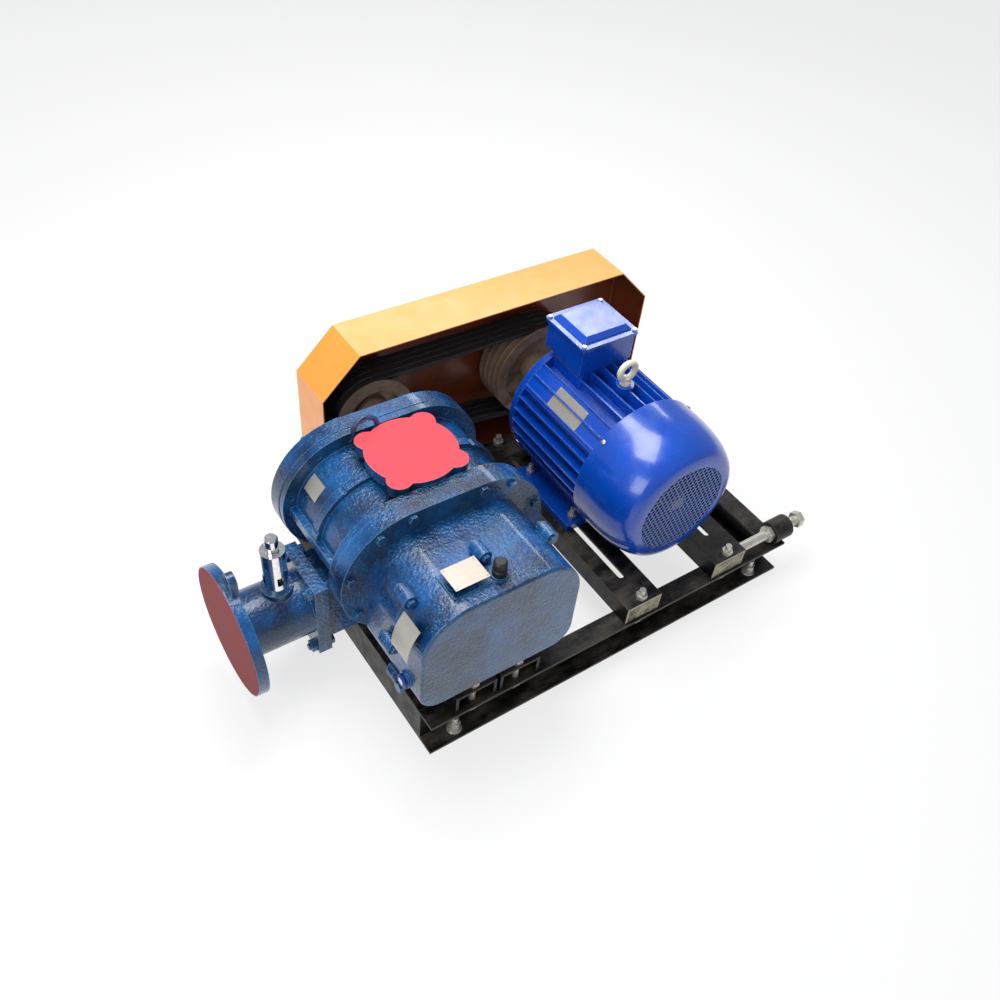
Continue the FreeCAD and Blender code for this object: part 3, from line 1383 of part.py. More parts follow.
def timing_gear(name, x, turn):
    """A spur gear with true involute flanks; a tooth stands at the given turn."""
    teeth = int(D.gear_teeth.value)
    module = D.shaft_spacing.value / teeth
    pitch = module * teeth / 2
    base = pitch * math.cos(math.radians(20))
    tip = pitch + module
    root = pitch - module * 1.25
    at_pitch = math.tan(math.radians(20)) - math.radians(20)
    half_tooth = math.pi / 2 / teeth - D.gear_backlash.value / 4 / pitch

    def flank(radius):
        """Half the tooth's angle at a radius, from the involute."""
        roll = math.acos(min(1.0, base / radius))
        return half_tooth + at_pitch - (math.tan(roll) - roll)

    def at(radius, angle):
        return Vector(radius * math.cos(angle), radius * math.sin(angle), 0)

    edges = []
    inner = base + 0.05
    middle = (inner + tip) / 2
    for index in range(teeth):
        axis = turn + 2 * math.pi * index / teeth
        following = turn + 2 * math.pi * (index + 1) / teeth
        edges.append(Part.LineSegment(at(root, axis - flank(inner)),
                                      at(inner, axis - flank(inner))))
        edges.append(Part.Arc(at(inner, axis - flank(inner)), at(middle, axis - flank(middle)),
                              at(tip, axis - flank(tip))))
        edges.append(Part.LineSegment(at(tip, axis - flank(tip)), at(tip, axis + flank(tip))))
        edges.append(Part.Arc(at(tip, axis + flank(tip)), at(middle, axis + flank(middle)),
                              at(inner, axis + flank(inner))))
        edges.append(Part.LineSegment(at(inner, axis + flank(inner)),
                                      at(root, axis + flank(inner))))
        edges.append(Part.LineSegment(at(root, axis + flank(inner)),
                                      at(root, following - flank(inner))))
    face = Part.Face(Part.Wire([edge.toShape() for edge in edges]))
    width = D.gear_width.value
    body = face.extrude(Vector(0, 0, width))
    shape = body.cut(Part.makeCylinder((D.gear_seat / 2 + D.seat_gap).value, width))
    shape.Placement = FreeCAD.Placement(Vector(), ALONG["Y"])
    return listed(free_shape(name, shape, (x, gear_y, D.shaft_height)))


gear_y = plate_y - 65
tooth_turn = math.pi / D.gear_teeth.value
timing_gear("drive_gear", drive_x, 0)
timing_gear("driven_gear", driven_x, tooth_turn)

gear_seat = D.gear_seat / 2
end_collar = 5.0
rotor_seat = D.rotor_seat / 2
gear_end = gear_y + D.gear_width
front_steps = [(gear_seat + 6, gear_y - end_collar - 6, gear_y), (gear_seat, gear_y, gear_end),
               (journal_radius, gear_end, casing_y + D.end_gap),
               (rotor_seat, casing_y + D.end_gap, rear_plate_y - D.end_gap)]
pulley_width = D.groove_edge * 2 + D.groove_pitch * (D.groove_count - 1)
listed(turned("drive_shaft", (drive_x, 0, D.shaft_height), "Y", steps(front_steps + [
    (journal_radius, rear_plate_y - D.end_gap, rear_face_y),
    (pump_nose, rear_face_y, D.pulley_face + 50)])))
listed(turned("driven_shaft", (driven_x, 0, D.shaft_height), "Y", steps(front_steps + [
    (journal_radius, rear_plate_y - D.end_gap, rear_face_y + 4)])))

eye_bolt("casing_eye_bolt", eye_spot[0], eye_spot[1], eye_seat_z, 15.0, 4.5)

# Oil fittings of the gear case.
listed(turned("breather_plug", (breather_x, breather_y, breather_z), "Z", [
    (0, -14), (6.9, -14), (6.9, 0), (12, 0), (12, 8), (10, 10), (11, 14), (11, 24),
    (8, 27), (0, 27)]))
sight_face = sight_x - 4
listed(turned("sight_glass", (sight_face, sight_y, sight_z), "X", [
    (0, -7), (9, -7), (11, -5), (12, -5), (12, 0), (7.9, 0), (7.9, 8), (0, 8)]))
drain_bar = hexagon_bar("drain_bar", 17, (sight_face - 8, sight_y + 8, drain_z), 8, "X")
drain_thread = rod("drain_thread", 5.9, (sight_face - 1, sight_y + 8, drain_z), 10, "X")
listed(joined("drain_plug", [drain_bar, drain_thread]))

# Outlet duct: from under the casing to the left, up to a tall flange.
duct_wall = 8.0
duct_half = 50.0
duct_floor = rail_top + 4
duct_end = D.outlet_joint
riser_end = D.pump_x - 80
outer_box = block("duct_under", (riser_end - 10, D.pump_x + 70),
                  (D.port_y - duct_half, D.port_y + duct_half), (duct_floor, duct_top))
riser_top = D.outlet_height + D.outlet_pipe / 2
riser_bottom = D.outlet_height - D.outlet_pipe / 2
riser_box = block("duct_riser", (duct_end, riser_end),
                  (D.port_y - duct_half, D.port_y + duct_half), (riser_bottom, riser_top))
joint_low = D.outlet_height - D.joint_height / 2
joint_high = D.outlet_height + D.joint_height / 2


def joint_block(name, start):
    return block(name, (start, start + D.joint_thickness),
                 (D.port_y - D.joint_width / 2, D.port_y + D.joint_width / 2),
                 (joint_low, joint_high))


duct_cast = joined("duct_cast", [outer_box, riser_box, joint_block("duct_flange", duct_end)])
joint_bolt = 12.0
joint_spots = [(D.port_y + (D.joint_width / 2 - 14) * y_side,
                D.outlet_height + (D.joint_height / 2 - 11) * z_side)
               for y_side in (-1, 1) for z_side in (-1, 1)]


def joint_holes(name, start):
    return [rod("%s_%d" % (name, index), joint_bolt / 2 + 0.5, (start - 1, y, z),
                D.joint_thickness + 2, "X") for index, (y, z) in enumerate(joint_spots)]


barrel_clear = casing_radius + D.casing_rib + 1
duct_cuts = [rod("duct_barrel_" + side, barrel_clear, (x, casing_y, D.shaft_height),
                 D.rotor_length, "Y") for side, x in shaft_places]
duct_cuts.append(block("duct_seat_space", (D.pump_x - 81, D.pump_x + 81),
                       (D.port_y - 61, D.port_y + 61), (duct_top, D.shaft_height)))
duct_cuts.append(block("duct_inner_under", (riser_end - 20, D.pump_x + 62),
                       (D.port_y - duct_half + duct_wall, D.port_y + duct_half - duct_wall),
                       (duct_floor + duct_wall, duct_top - duct_wall)))
duct_cuts.append(block("duct_mouth", (D.pump_x - 40, D.pump_x + 40),
                       (D.port_y - 40, D.port_y + 40), (duct_top - duct_wall - 1, duct_top + 1)))
duct_cuts.append(block("duct_inner_riser", (duct_end - 1, riser_end - 12),
                       (D.port_y - duct_half + duct_wall, D.port_y + duct_half - duct_wall),
                       (riser_bottom + duct_wall, D.outlet_height + 22)))
duct_cuts += joint_holes("duct_flange_hole", duct_end)
listed(without("outlet_duct", duct_cast, duct_cuts))

# Outlet pipe: a weldment of pipe, two flanges, a lifting lug and the valve's socket.
pipe_start = D.outlet_face
pipe_flange_start = duct_end - D.joint_thickness
pipe = rod("pipe_outer", D.outlet_pipe / 2, (pipe_start, D.port_y, D.outlet_height),
           duct_end - pipe_start, "X")
round_flange = rod("pipe_round_flange", D.outlet_flange / 2,
                   (pipe_start, D.port_y, D.outlet_height), D.outlet_flange_thickness, "X")
lug_y = D.port_y - 15
lug_plate = block("pipe_lug_plate", (pipe_start + 8, pipe_start + 20),
                  (lug_y - 14, lug_y + 14), (D.outlet_height + 95, D.outlet_height + 137))
lug_eye = rod("pipe_lug_eye", 14, (pipe_start + 8, lug_y, D.outlet_height + 137), 12, "X")
socket = rod("pipe_socket", D.valve_radius + 6, (D.valve_x, D.port_y, D.outlet_height + 40),
             D.valve_base - D.outlet_height - 40)
pipe_cast = joined("pipe_weldment", [pipe, round_flange, lug_plate, lug_eye, socket,
                                     joint_block("pipe_flange", pipe_flange_start)])
pipe_cuts = [rod("pipe_bore", D.outlet_pipe / 2 - D.outlet_wall,
                 (pipe_start - 1, D.port_y, D.outlet_height), duct_end - pipe_start + 2, "X"),
             rod("lug_hole", 7.5, (pipe_start, lug_y, D.outlet_height + 137), 30, "X"),
             rod("socket_bore", 9, (D.valve_x, D.port_y, D.outlet_height), 100)]
pipe_cuts += joint_holes("pipe_flange_hole", pipe_flange_start)
for index in range(8):
    turn = math.radians(22.5 + 45 * index)
    pipe_cuts.append(rod("outlet_hole_%d" % index, D.outlet_hole / 2,
                         (pipe_start - 1, D.port_y + D.outlet_pcd / 2 * math.cos(turn),
                          D.outlet_height + D.outlet_pcd / 2 * math.sin(turn)),
                         D.outlet_flange_thickness + 2, "X"))
listed(without("outlet_pipe", pipe_cast, pipe_cuts))

joint_places = [((duct_end + D.joint_thickness).value, y.value, z.value)
                for y, z in joint_spots]
listed(bolted_pairs("outlet_joint_bolts", joint_bolt, (D.joint_thickness * 2).value,
                    joint_places, Vector(1, 0, 0), 4.0))

# ----------------------------------------------------------- relief valve

valve_top = D.valve_base + D.valve_height
valve_wall = 4.0
seat_height = 12.0
stem = D.valve_stem / 2
valve_shell = rod("valve_shell", D.valve_radius, (D.valve_x, D.port_y, D.valve_base),
                  D.valve_height)
valve_cuts = [rod("valve_chamber", D.valve_radius - valve_wall,
                  (D.valve_x, D.port_y, D.valve_base + seat_height),
                  D.valve_height - seat_height - valve_wall),
              rod("valve_seat", 9, (D.valve_x, D.port_y, D.valve_base - 1), seat_height + 2),
              rod("valve_guide", stem + D.running_gap, (D.valve_x, D.port_y, valve_top - 5), 6),
              block("valve_vent_x", (D.valve_x - 30, D.valve_x + 30),
                    (D.port_y - 5, D.port_y + 5),
                    (D.valve_base + seat_height + 6, D.valve_base + seat_height + 24)),
              block("valve_vent_y", (D.valve_x - 5, D.valve_x + 5),
                    (D.port_y - 30, D.port_y + 30),
                    (D.valve_base + seat_height + 6, D.valve_base + seat_height + 24))]
listed(without("valve_body", valve_shell, valve_cuts))

disc_thickness = 4.0
seat_rest = 0.2
disc_z = seat_height + seat_rest
knob_z = D.valve_height + 1
listed(turned("valve_disc", (D.valve_x, D.port_y, D.valve_base), "Z", [
    (0, disc_z), (12, disc_z), (12, disc_z + disc_thickness), (stem, disc_z + disc_thickness),
    (stem, knob_z), (8, knob_z), (11, knob_z + 3), (11, knob_z + D.valve_knob - 4),
    (9, knob_z + D.valve_knob - 1), (0, knob_z + D.valve_knob - 1)]))

spring_wire = 1.2
spring_radius = 9.5
spring_turns = 4
wire_sides = 12
spring_start = D.valve_base + disc_z + disc_thickness + spring_wire + 0.2
spring_end = valve_top - valve_wall - spring_wire - 0.2
spring_length = (spring_end - spring_start).value


def coil(radius, wire, length, turns):
    """A spring in half turns, each tilted to climb and tangent to the next."""
    rise = length / turns / 2
    corners = []
    for index in range(wire_sides + 1):
        angle = 2 * math.pi * index / wire_sides
        corners.append(Vector(radius + wire * math.cos(angle), 0, wire * math.sin(angle)))
    section = Part.makePolygon(corners)
    faces = [Part.Face(section)]
    for half in range(turns * 2):
        side = 1 if half % 2 == 0 else -1
        middle = Vector(0, 0, rise * (half + 0.5))
        axle = Vector(radius * side, 0, -rise / 2).cross(Vector(0, side, 0))
        faces += section.revolve(middle, axle, 180).Faces
        section = section.copy()
        section.rotate(middle, axle, 180)
    faces.append(Part.Face(section))
    skin = Part.makeCompound(faces)
    skin.sewShape()
    return Part.makeSolid(skin.Shells[0])


spring = coil(spring_radius, spring_wire, spring_length, spring_turns)
listed(free_shape("valve_spring", spring, (D.valve_x, D.port_y, spring_start)))

# ------------------------------------------------------------ write files

document.recompute()
for thing in document.Objects:
    for state in thing.State:
        if state in ("Invalid", "Error"):
            raise RuntimeError("%s did not rebuild: %s" % (thing.Name, thing.State))
os.makedirs("parts", exist_ok=True)
for thing in sub_parts:
    if thing.Shape.isNull() or not thing.Shape.isValid():
        raise RuntimeError("%s has no valid shape" % thing.Label)
    if not thing.Shape.Solids:
        raise RuntimeError("%s has no solid" % thing.Label)
    thing.Shape.exportStep("parts/%s.step" % thing.Label)
print("%d sub-parts written" % len(sub_parts))
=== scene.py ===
import json
import math

import bmesh
import bpy
from bpy.props import FloatProperty, FloatVectorProperty, IntProperty, PointerProperty
from mathutils import Matrix, Vector, noise


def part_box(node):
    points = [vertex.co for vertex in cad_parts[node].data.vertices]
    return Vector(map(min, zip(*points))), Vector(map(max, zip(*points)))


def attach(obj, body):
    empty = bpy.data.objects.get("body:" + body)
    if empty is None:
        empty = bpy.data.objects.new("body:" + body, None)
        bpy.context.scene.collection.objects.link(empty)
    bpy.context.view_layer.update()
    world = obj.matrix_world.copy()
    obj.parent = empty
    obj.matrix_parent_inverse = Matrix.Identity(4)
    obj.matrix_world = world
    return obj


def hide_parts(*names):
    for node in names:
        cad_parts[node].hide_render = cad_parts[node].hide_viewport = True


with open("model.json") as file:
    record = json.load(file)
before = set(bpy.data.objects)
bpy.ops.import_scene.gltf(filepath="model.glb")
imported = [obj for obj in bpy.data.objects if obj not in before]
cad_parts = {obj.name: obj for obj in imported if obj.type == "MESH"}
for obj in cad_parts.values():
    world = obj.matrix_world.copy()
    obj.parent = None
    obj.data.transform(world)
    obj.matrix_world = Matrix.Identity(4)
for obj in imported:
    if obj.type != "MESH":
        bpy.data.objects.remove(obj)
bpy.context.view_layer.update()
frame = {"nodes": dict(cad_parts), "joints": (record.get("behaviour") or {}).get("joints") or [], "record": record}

bl_info = {
    "name": "Roots Pump Set",
    "version": (1, 0, 0),
    "blender": (4, 5, 0),
    "location": "View3D > Sidebar > Pump",
    "description": "Finishes and fine pieces of a belt-driven Roots vacuum pump",
    "category": "Object",
}


def tone(red, green, blue):
    """A colour given as 0 to 255 display values, in the linear values that sockets take."""
    linear = []
    for value in (red, green, blue):
        share = value / 255
        linear.append(share / 12.92 if share <= 0.04045 else ((share + 0.055) / 1.055) ** 2.4)
    return tuple(linear)


def darker(colour_value, share):
    """The same colour with only a share of its light."""
    return [value * share for value in colour_value]


def middle(node):
    low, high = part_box(node)
    return (Vector(low) + Vector(high)) / 2


def named(items, name):
    """The mount or joint of that name."""
    return next(item for item in items if item["name"] == name)


# ------------------------------------------------------------- settings


def colour(name, description, default):
    return FloatVectorProperty(name=name, description=description, subtype="COLOR",
                               size=3, min=0.0, max=1.0, default=default)


def length(name, description, default):
    return FloatProperty(name=name, description=description, unit="LENGTH",
                         subtype="DISTANCE", precision=4, min=0.0, default=default)


class PumpColours(bpy.types.PropertyGroup):
    """Colours of the paints, metals and films"""

    pump_blue: colour("Pump blue", "Thick hammered enamel of the pump", tone(2, 84, 150))
    pump_shade: colour("Pump shade", "The enamel where it lies thick", tone(0, 26, 64))
    motor_blue: colour("Motor blue", "Smooth enamel of the motor", tone(4, 78, 196))
    guard_orange: colour("Guard orange", "Enamel of the belt guard", tone(250, 158, 62))
    # Painted shade: the darker brown that the guard's inner faces are given.
    guard_inside_shade: colour("Guard inside", "Primer inside the belt guard", tone(150, 70, 30))
    frame_black: colour("Frame black", "Enamel of the base frame", tone(13, 13, 13))
    # Partly dust and partly painted top light: the paler colour of the frame's upward faces.
    frame_dust_and_light: colour("Frame dust", "Dust on the frame's upper faces", tone(92, 84, 76))
    grille_blue: colour("Grille blue", "Dusty face of the fan cover", tone(128, 148, 220))
    cut_end: colour("Cut end", "Bare sawn ends of the cross rails", tone(178, 170, 140))
    film_red: colour("Film red", "Covering film of the inlet", tone(232, 74, 86))
    film_dark: colour("Dark film red", "Covering film of the outlet", tone(128, 20, 26))
    zinc: colour("Zinc", "Plating of the bolts and nuts", tone(214, 210, 200))
    iron: colour("Cast iron", "Turned cast iron of the pulleys", tone(152, 124, 102))


class PumpDetails(bpy.types.PropertyGroup):
    """Sizes of the fine pieces"""

    film_thickness: length("Film thickness", "Sheet that covers a port", 0.0006)
    film_overlap: length("Film overlap", "How far the film stands out past the flange", 0.001)
    plate_thickness: length("Plate thickness", "Bare plates for the data", 0.0006)
    grille_pitch: length("Grille pitch", "Distance between the fan cover's holes", 0.0098)
    grille_web: length("Grille web", "Metal left between two holes", 0.0023)
    grille_radius: length("Grille radius", "Outer radius of the field of holes", 0.096)
    thread_pitch: length("Thread pitch", "Pitch of the tension screw", 0.0025)
    cover_steps: IntProperty(name="Cover steps", description="Steps round the fan cover",
                             min=24, max=256, default=112)


class PumpStage(bpy.types.PropertyGroup):
    """The camera and the lamps"""

    azimuth: FloatProperty(name="Azimuth", description="Camera's turn about the vertical",
                           subtype="ANGLE", default=math.radians(-42.094))
    elevation: FloatProperty(name="Elevation", description="Camera's height angle",
                             subtype="ANGLE", default=math.radians(46.604))
    roll: FloatProperty(name="Roll", description="Camera's turn about its own axis",
                        subtype="ANGLE", default=math.radians(9.206))
    place: FloatVectorProperty(name="Camera place", description="Where the camera stands",
                               subtype="XYZ", size=3, unit="LENGTH",
                               default=(-0.8943, -0.9698, 1.4908))
    lens: FloatProperty(name="Lens", description="Focal length in millimetres",
                        min=10, default=35.465)
    shift: FloatVectorProperty(name="Shift", description="Lens shift across and up",
                               size=2, default=(-0.04056, 0.03022))
    daylight: FloatProperty(name="Daylight", description="Strength of the even light around",
                            min=0, default=0.40)
    top_light: FloatProperty(name="Top light", description="Power of the lamp overhead",
                             subtype="POWER", unit="POWER", default=46)


# ------------------------------------------------------------ materials


class Finish:
    """A material with its node tree, and short calls to add and join nodes."""

    def __init__(self, name, colour_value, roughness, metallic=0.0):
        self.material = bpy.data.materials.new(name)
        self.material.use_nodes = True
        self.tree = self.material.node_tree
        self.shader = self.tree.nodes["Principled BSDF"]
        self.set("Base Color", (*colour_value, 1.0))
        self.set("Roughness", roughness)
        self.set("Metallic", metallic)
        self.coordinates = self.tree.nodes.new("ShaderNodeTexCoord")

    def set(self, socket, value):
        self.shader.inputs[socket].default_value = value

    def feed(self, socket, source):
        self.tree.links.new(source, self.shader.inputs[socket])

    def node(self, kind, inputs, output=0, **settings):
        """A new node with its inputs set or joined, and the output socket asked for."""
        made = self.tree.nodes.new("ShaderNode" + kind)
        for name, value in settings.items():
            setattr(made, name, value)
        for key, value in inputs.items():
            if isinstance(value, bpy.types.NodeSocket):
                self.tree.links.new(value, made.inputs[key])
            else:
                made.inputs[key].default_value = value
        return made.outputs[output]

    def noise(self, scale, detail=3.0, roughness=0.55, stretch=(1, 1, 1)):
        """Cloudy values about 0.5; the scale counts clouds per metre."""
        vector = self.coordinates.outputs["Object"]
        if stretch != (1, 1, 1):
            vector = self.node("Mapping", {"Vector": vector, "Scale": stretch})
        return self.node("TexNoise", {"Vector": vector, "Scale": scale, "Detail": detail,
                                      "Roughness": roughness})

    def cells(self, scale):
        """Rounded dents, the scale of them per metre."""
        vector = self.coordinates.outputs["Object"]
        return self.node("TexVoronoi", {"Vector": vector, "Scale": scale},
                         feature="SMOOTH_F1")

    def between(self, value, low, high, to_low=0.0, to_high=1.0):
        """Stretches the span from low to high over another one, and stops at its ends."""
        return self.node("MapRange", {"Value": value, "From Min": low, "From Max": high,
                                      "To Min": to_low, "To Max": to_high})

    def drifting(self, scale, low, high):
        """A value that drifts between low and high over the surface."""
        return self.between(self.noise(scale), 0.3, 0.7, low, high)

    def times(self, first, second):
        return self.node("Math", {0: first, 1: second}, operation="MULTIPLY")

    def most(self, first, second):
        return self.node("Math", {0: first, 1: second}, operation="MAXIMUM")

    def mixed(self, share, first, second):
        """A colour between two, each a socket or a plain colour."""
        first = first if isinstance(first, bpy.types.NodeSocket) else (*first, 1.0)
        second = second if isinstance(second, bpy.types.NodeSocket) else (*second, 1.0)
        return self.node("Mix", {0: share, 6: first, 7: second}, output=2, data_type="RGBA")

    def facing(self, axis):
        """How far the surface faces along one of the object's axes, from -1 to 1."""
        split = self.tree.nodes.new("ShaderNodeSeparateXYZ")
        self.tree.links.new(self.coordinates.outputs["Normal"], split.inputs[0])
        return split.outputs[axis]

    def place(self, axis):
        """Where the point lies along one of the object's axes, in metres."""
        split = self.tree.nodes.new("ShaderNodeSeparateXYZ")
        self.tree.links.new(self.coordinates.outputs["Object"], split.inputs[0])
        return split.outputs[axis]

    def soft_edges(self, radius):
        """Rounds the look of edges; gives a mask of the edges and the rounded normal."""
        rounded = self.node("Bevel", {"Radius": radius}, samples=4)
        flat = self.tree.nodes.new("ShaderNodeNewGeometry").outputs["Normal"]
        along = self.node("VectorMath", {0: rounded, 1: flat}, output=1,
                          operation="DOT_PRODUCT")
        flat_enough, edge = 0.995, 0.90
        return self.between(along, flat_enough, edge), rounded

    def bumps(self, layers, normal=None):
        """Bump layers, each a height, a distance in metres and a strength."""
        for height, distance, strength in layers:
            inputs = {"Height": height, "Distance": distance, "Strength": strength}
            if normal is not None:
                inputs["Normal"] = normal
            normal = self.node("Bump", inputs)
        self.feed("Normal", normal)


def hammered_enamel(name, look):
    """Thick glossy enamel over rough castings, with painted highlights: pale speckles on the faces that look up
    and pale edges; the front faces get a painted grey reflection.
    """
    finish = Finish(name, look.pump_blue, 0.22)
    finish.set("Coat Weight", 0.35)
    finish.set("Coat Roughness", 0.06)
    # Painted highlight colours: pale blue for the speckles on the top faces and for the edges.
    painted_highlight_blue, painted_edge_highlight = tone(104, 186, 226), tone(110, 176, 214)
    # Painted reflection: the grey that the front faces are mixed towards.
    painted_front_reflection = tone(44, 86, 116)
    edges, rounded = finish.soft_edges(0.0022)
    broad = finish.between(finish.noise(14, 4), 0.35, 0.68)
    base = finish.mixed(broad, look.pump_shade, look.pump_blue)
    lit = finish.between(finish.facing("Z"), 0.25, 0.95)
    speckle = finish.between(finish.noise(420, 5, 0.75), 0.53, 0.67)
    patch = finish.between(finish.noise(34, 3), 0.42, 0.62)
    # Painted highlight: pale speckles, strongest on the faces that look up, where the light falls.
    pale = finish.times(finish.times(speckle, patch), finish.between(lit, 0, 1, 0.22, 0.85))
    base = finish.mixed(pale, base, painted_highlight_blue)
    # Painted reflection: the faces that look to the front are greyed in patches.
    front = finish.between(finish.facing("Y"), -0.7, -0.98)
    tint_share = finish.times(front, finish.between(finish.noise(16, 5, 0.7), 0.3, 0.7, 0.1, 0.5))
    base = finish.mixed(tint_share, base, painted_front_reflection)
    # Painted highlight: the edges are made paler.
    base = finish.mixed(finish.times(edges, 0.55), base, painted_edge_highlight)
    finish.feed("Base Color", base)
    finish.feed("Roughness", finish.drifting(60, 0.14, 0.36))
    hammering, grain = finish.cells(190), finish.noise(520, 4, 0.7)
    finish.bumps([(hammering, 0.0014, 0.75), (grain, 0.0007, 0.6)], rounded)
    return finish.material


def smooth_enamel(name, look):
    """The motor's sprayed enamel, with a painted highlight along its edges."""
    finish = Finish(name, look.motor_blue, 0.2)
    finish.set("Coat Weight", 0.5)
    finish.set("Coat Roughness", 0.1)
    edges, rounded = finish.soft_edges(0.0014)
    deep = finish.mixed(finish.between(finish.noise(9, 3), 0.35, 0.7),
                        darker(look.motor_blue, 0.72), look.motor_blue)
    # Painted highlight: a paler blue along the edges, broken up by noise.
    edge_breakup = finish.between(finish.noise(130, 4, 0.7), 0.4, 0.6, 0.35, 0.85)
    painted_edge_sheen = finish.times(edges, edge_breakup)
    painted_edge_blue = tone(130, 160, 225)
    finish.feed("Base Color", finish.mixed(painted_edge_sheen, deep, painted_edge_blue))
    finish.feed("Roughness", finish.drifting(45, 0.16, 0.32))
    finish.bumps([(finish.noise(260, 3), 0.0004, 0.22)], rounded)
    return finish.material


def guard_enamel(name, look):
    """Orange enamel outside; the faces that look at the belts are painted darker brown as painted shade."""
    finish = Finish(name, look.guard_orange, 0.35)
    finish.set("Coat Weight", 0.35)
    finish.set("Coat Roughness", 0.2)
    edges, rounded = finish.soft_edges(0.0016)
    # The second colour is a painted highlight for the edges.
    sun_faded, painted_edge_highlight = tone(238, 140, 52), tone(255, 214, 150)
    # Painted shade: a deeper brown for the guard's inner faces.
    deep_inner_shade = tone(104, 44, 20)
    outward = finish.node("VectorMath", {0: finish.coordinates.outputs["Object"],
                                         1: middle("belt_guard")}, operation="SUBTRACT")
    along = finish.node("VectorMath", {0: outward, 1: finish.coordinates.outputs["Normal"]},
                        output=1, operation="DOT_PRODUCT")
    # Painted shade: faces that look inward, towards the belts, take the darker browns.
    inside = finish.between(along, 0.001, -0.001)
    tint_share = finish.between(finish.noise(7, 5, 0.65), 0.35, 0.7, 0.0, 0.35)
    outer = finish.mixed(tint_share, look.guard_orange, sun_faded)
    inner = finish.mixed(finish.between(finish.noise(11, 5, 0.7), 0.35, 0.7),
                         look.guard_inside_shade, deep_inner_shade)
    base = finish.mixed(inside, outer, inner)
    # Painted highlight: the edges are made paler.
    base = finish.mixed(finish.times(edges, 0.7), base, painted_edge_highlight)
    finish.feed("Base Color", base)
    finish.feed("Roughness", finish.drifting(30, 0.3, 0.5))
    dents, grain = finish.noise(9, 2), finish.noise(420, 3)
    finish.bumps([(dents, 0.002, 0.25), (grain, 0.0003, 0.25)], rounded)
    return finish.material


def frame_enamel(name, look, cut_y=None):
    """Black enamel, dusty on its upward faces, which are also painted paler as top light; a rail's sawn end below
    cut_y stays bare.
    """
    finish = Finish(name, look.frame_black, 0.42)
    finish.set("Specular IOR Level", 0.3)
    edges, rounded = finish.soft_edges(0.0016)
    # Paler upward faces: partly dust, partly painted light where the top light falls.
    up = finish.between(finish.facing("Z"), 0.3, 0.95)
    drift = finish.between(finish.noise(13, 6, 0.7, (1, 2.2, 1)), 0.42, 0.66)
    grit = finish.between(finish.noise(300, 4, 0.7), 0.35, 0.65, 0.5, 1.0)
    dust_and_top_light = finish.times(finish.times(up, drift), grit)
    base = finish.mixed(finish.times(dust_and_top_light, 0.8), look.frame_black, look.frame_dust_and_light)
    scratches = finish.between(finish.noise(90, 5, 0.75, (0.3, 2.5, 2.5)), 0.62, 0.72, 0, 0.25)
    # bare is for the scratches; the second colour is a painted highlight for the edges.
    bare, painted_edge_highlight = tone(84, 82, 78), tone(120, 112, 100)
    base = finish.mixed(scratches, base, bare)
    # Painted highlight: the edges are made paler.
    base = finish.mixed(finish.times(edges, 0.6), base, painted_edge_highlight)
    if cut_y is not None:
        at_end = finish.times(finish.between(finish.place("Y"), cut_y + 0.001, cut_y + 0.0004),
                              finish.between(finish.facing("Y"), -0.5, -0.8))
        saw = finish.between(finish.noise(60, 4, 0.6, (1, 1, 12)), 0.3, 0.7)
        sawn = finish.mixed(saw, look.cut_end, darker(look.cut_end, 0.75))
        base = finish.mixed(at_end, base, sawn)
    finish.feed("Base Color", base)
    dusty = finish.between(dust_and_top_light, 0, 1, 0.36, 0.8)
    finish.feed("Roughness", finish.most(dusty, finish.drifting(50, 0.34, 0.52)))
    finish.bumps([(finish.noise(180, 4, 0.65), 0.0006, 0.35)], rounded)
    return finish.material


def plated_steel(name, colour_value, roughness, metallic=1.0):
    """Zinc or machined steel, with a faint cloud of wear and a painted highlight on its edges."""
    finish = Finish(name, colour_value, roughness, metallic)
    edges, rounded = finish.soft_edges(0.0006)
    cloud = finish.between(finish.noise(90, 4, 0.6), 0.35, 0.7)
    base = finish.mixed(cloud, colour_value, darker(colour_value, 0.72))
    # Painted highlight: the edges are mixed towards near white.
    finish.feed("Base Color", finish.mixed(finish.times(edges, 0.4), base, (0.95, 0.95, 0.93)))
    finish.feed("Roughness", finish.between(cloud, 0, 1, roughness - 0.08, roughness + 0.12))
    finish.bumps([(finish.noise(700, 3), 0.0002, 0.3)], rounded)
    return finish.material


def sawn_steel(name, look):
    """Bare plate in the rails' ends, with patches of old paint."""
    finish = Finish(name, look.cut_end, 0.6)
    patches = finish.between(finish.noise(46, 5, 0.7), 0.44, 0.62, 0, 0.85)
    streaks = finish.between(finish.noise(60, 4, 0.6, (1, 1, 12)), 0.3, 0.7)
    base = finish.mixed(streaks, look.cut_end, darker(look.cut_end, 0.7))
    finish.feed("Base Color", finish.mixed(patches, base, tone(58, 54, 46)))
    finish.bumps([(finish.noise(200, 4), 0.0004, 0.4)])
    return finish.material


def chrome(name):
    """Polished plating with a faint cloud of breath."""
    finish = Finish(name, (0.86, 0.86, 0.87), 0.1, 1.0)
    cloud = finish.between(finish.noise(160, 3), 0.4, 0.7)
    finish.feed("Roughness", finish.between(cloud, 0, 1, 0.06, 0.18))
    finish.feed("Base Color", finish.mixed(cloud, (0.88, 0.88, 0.89), (0.78, 0.78, 0.80)))
    finish.bumps([(finish.noise(900, 2), 0.0001, 0.15)])
    return finish.material


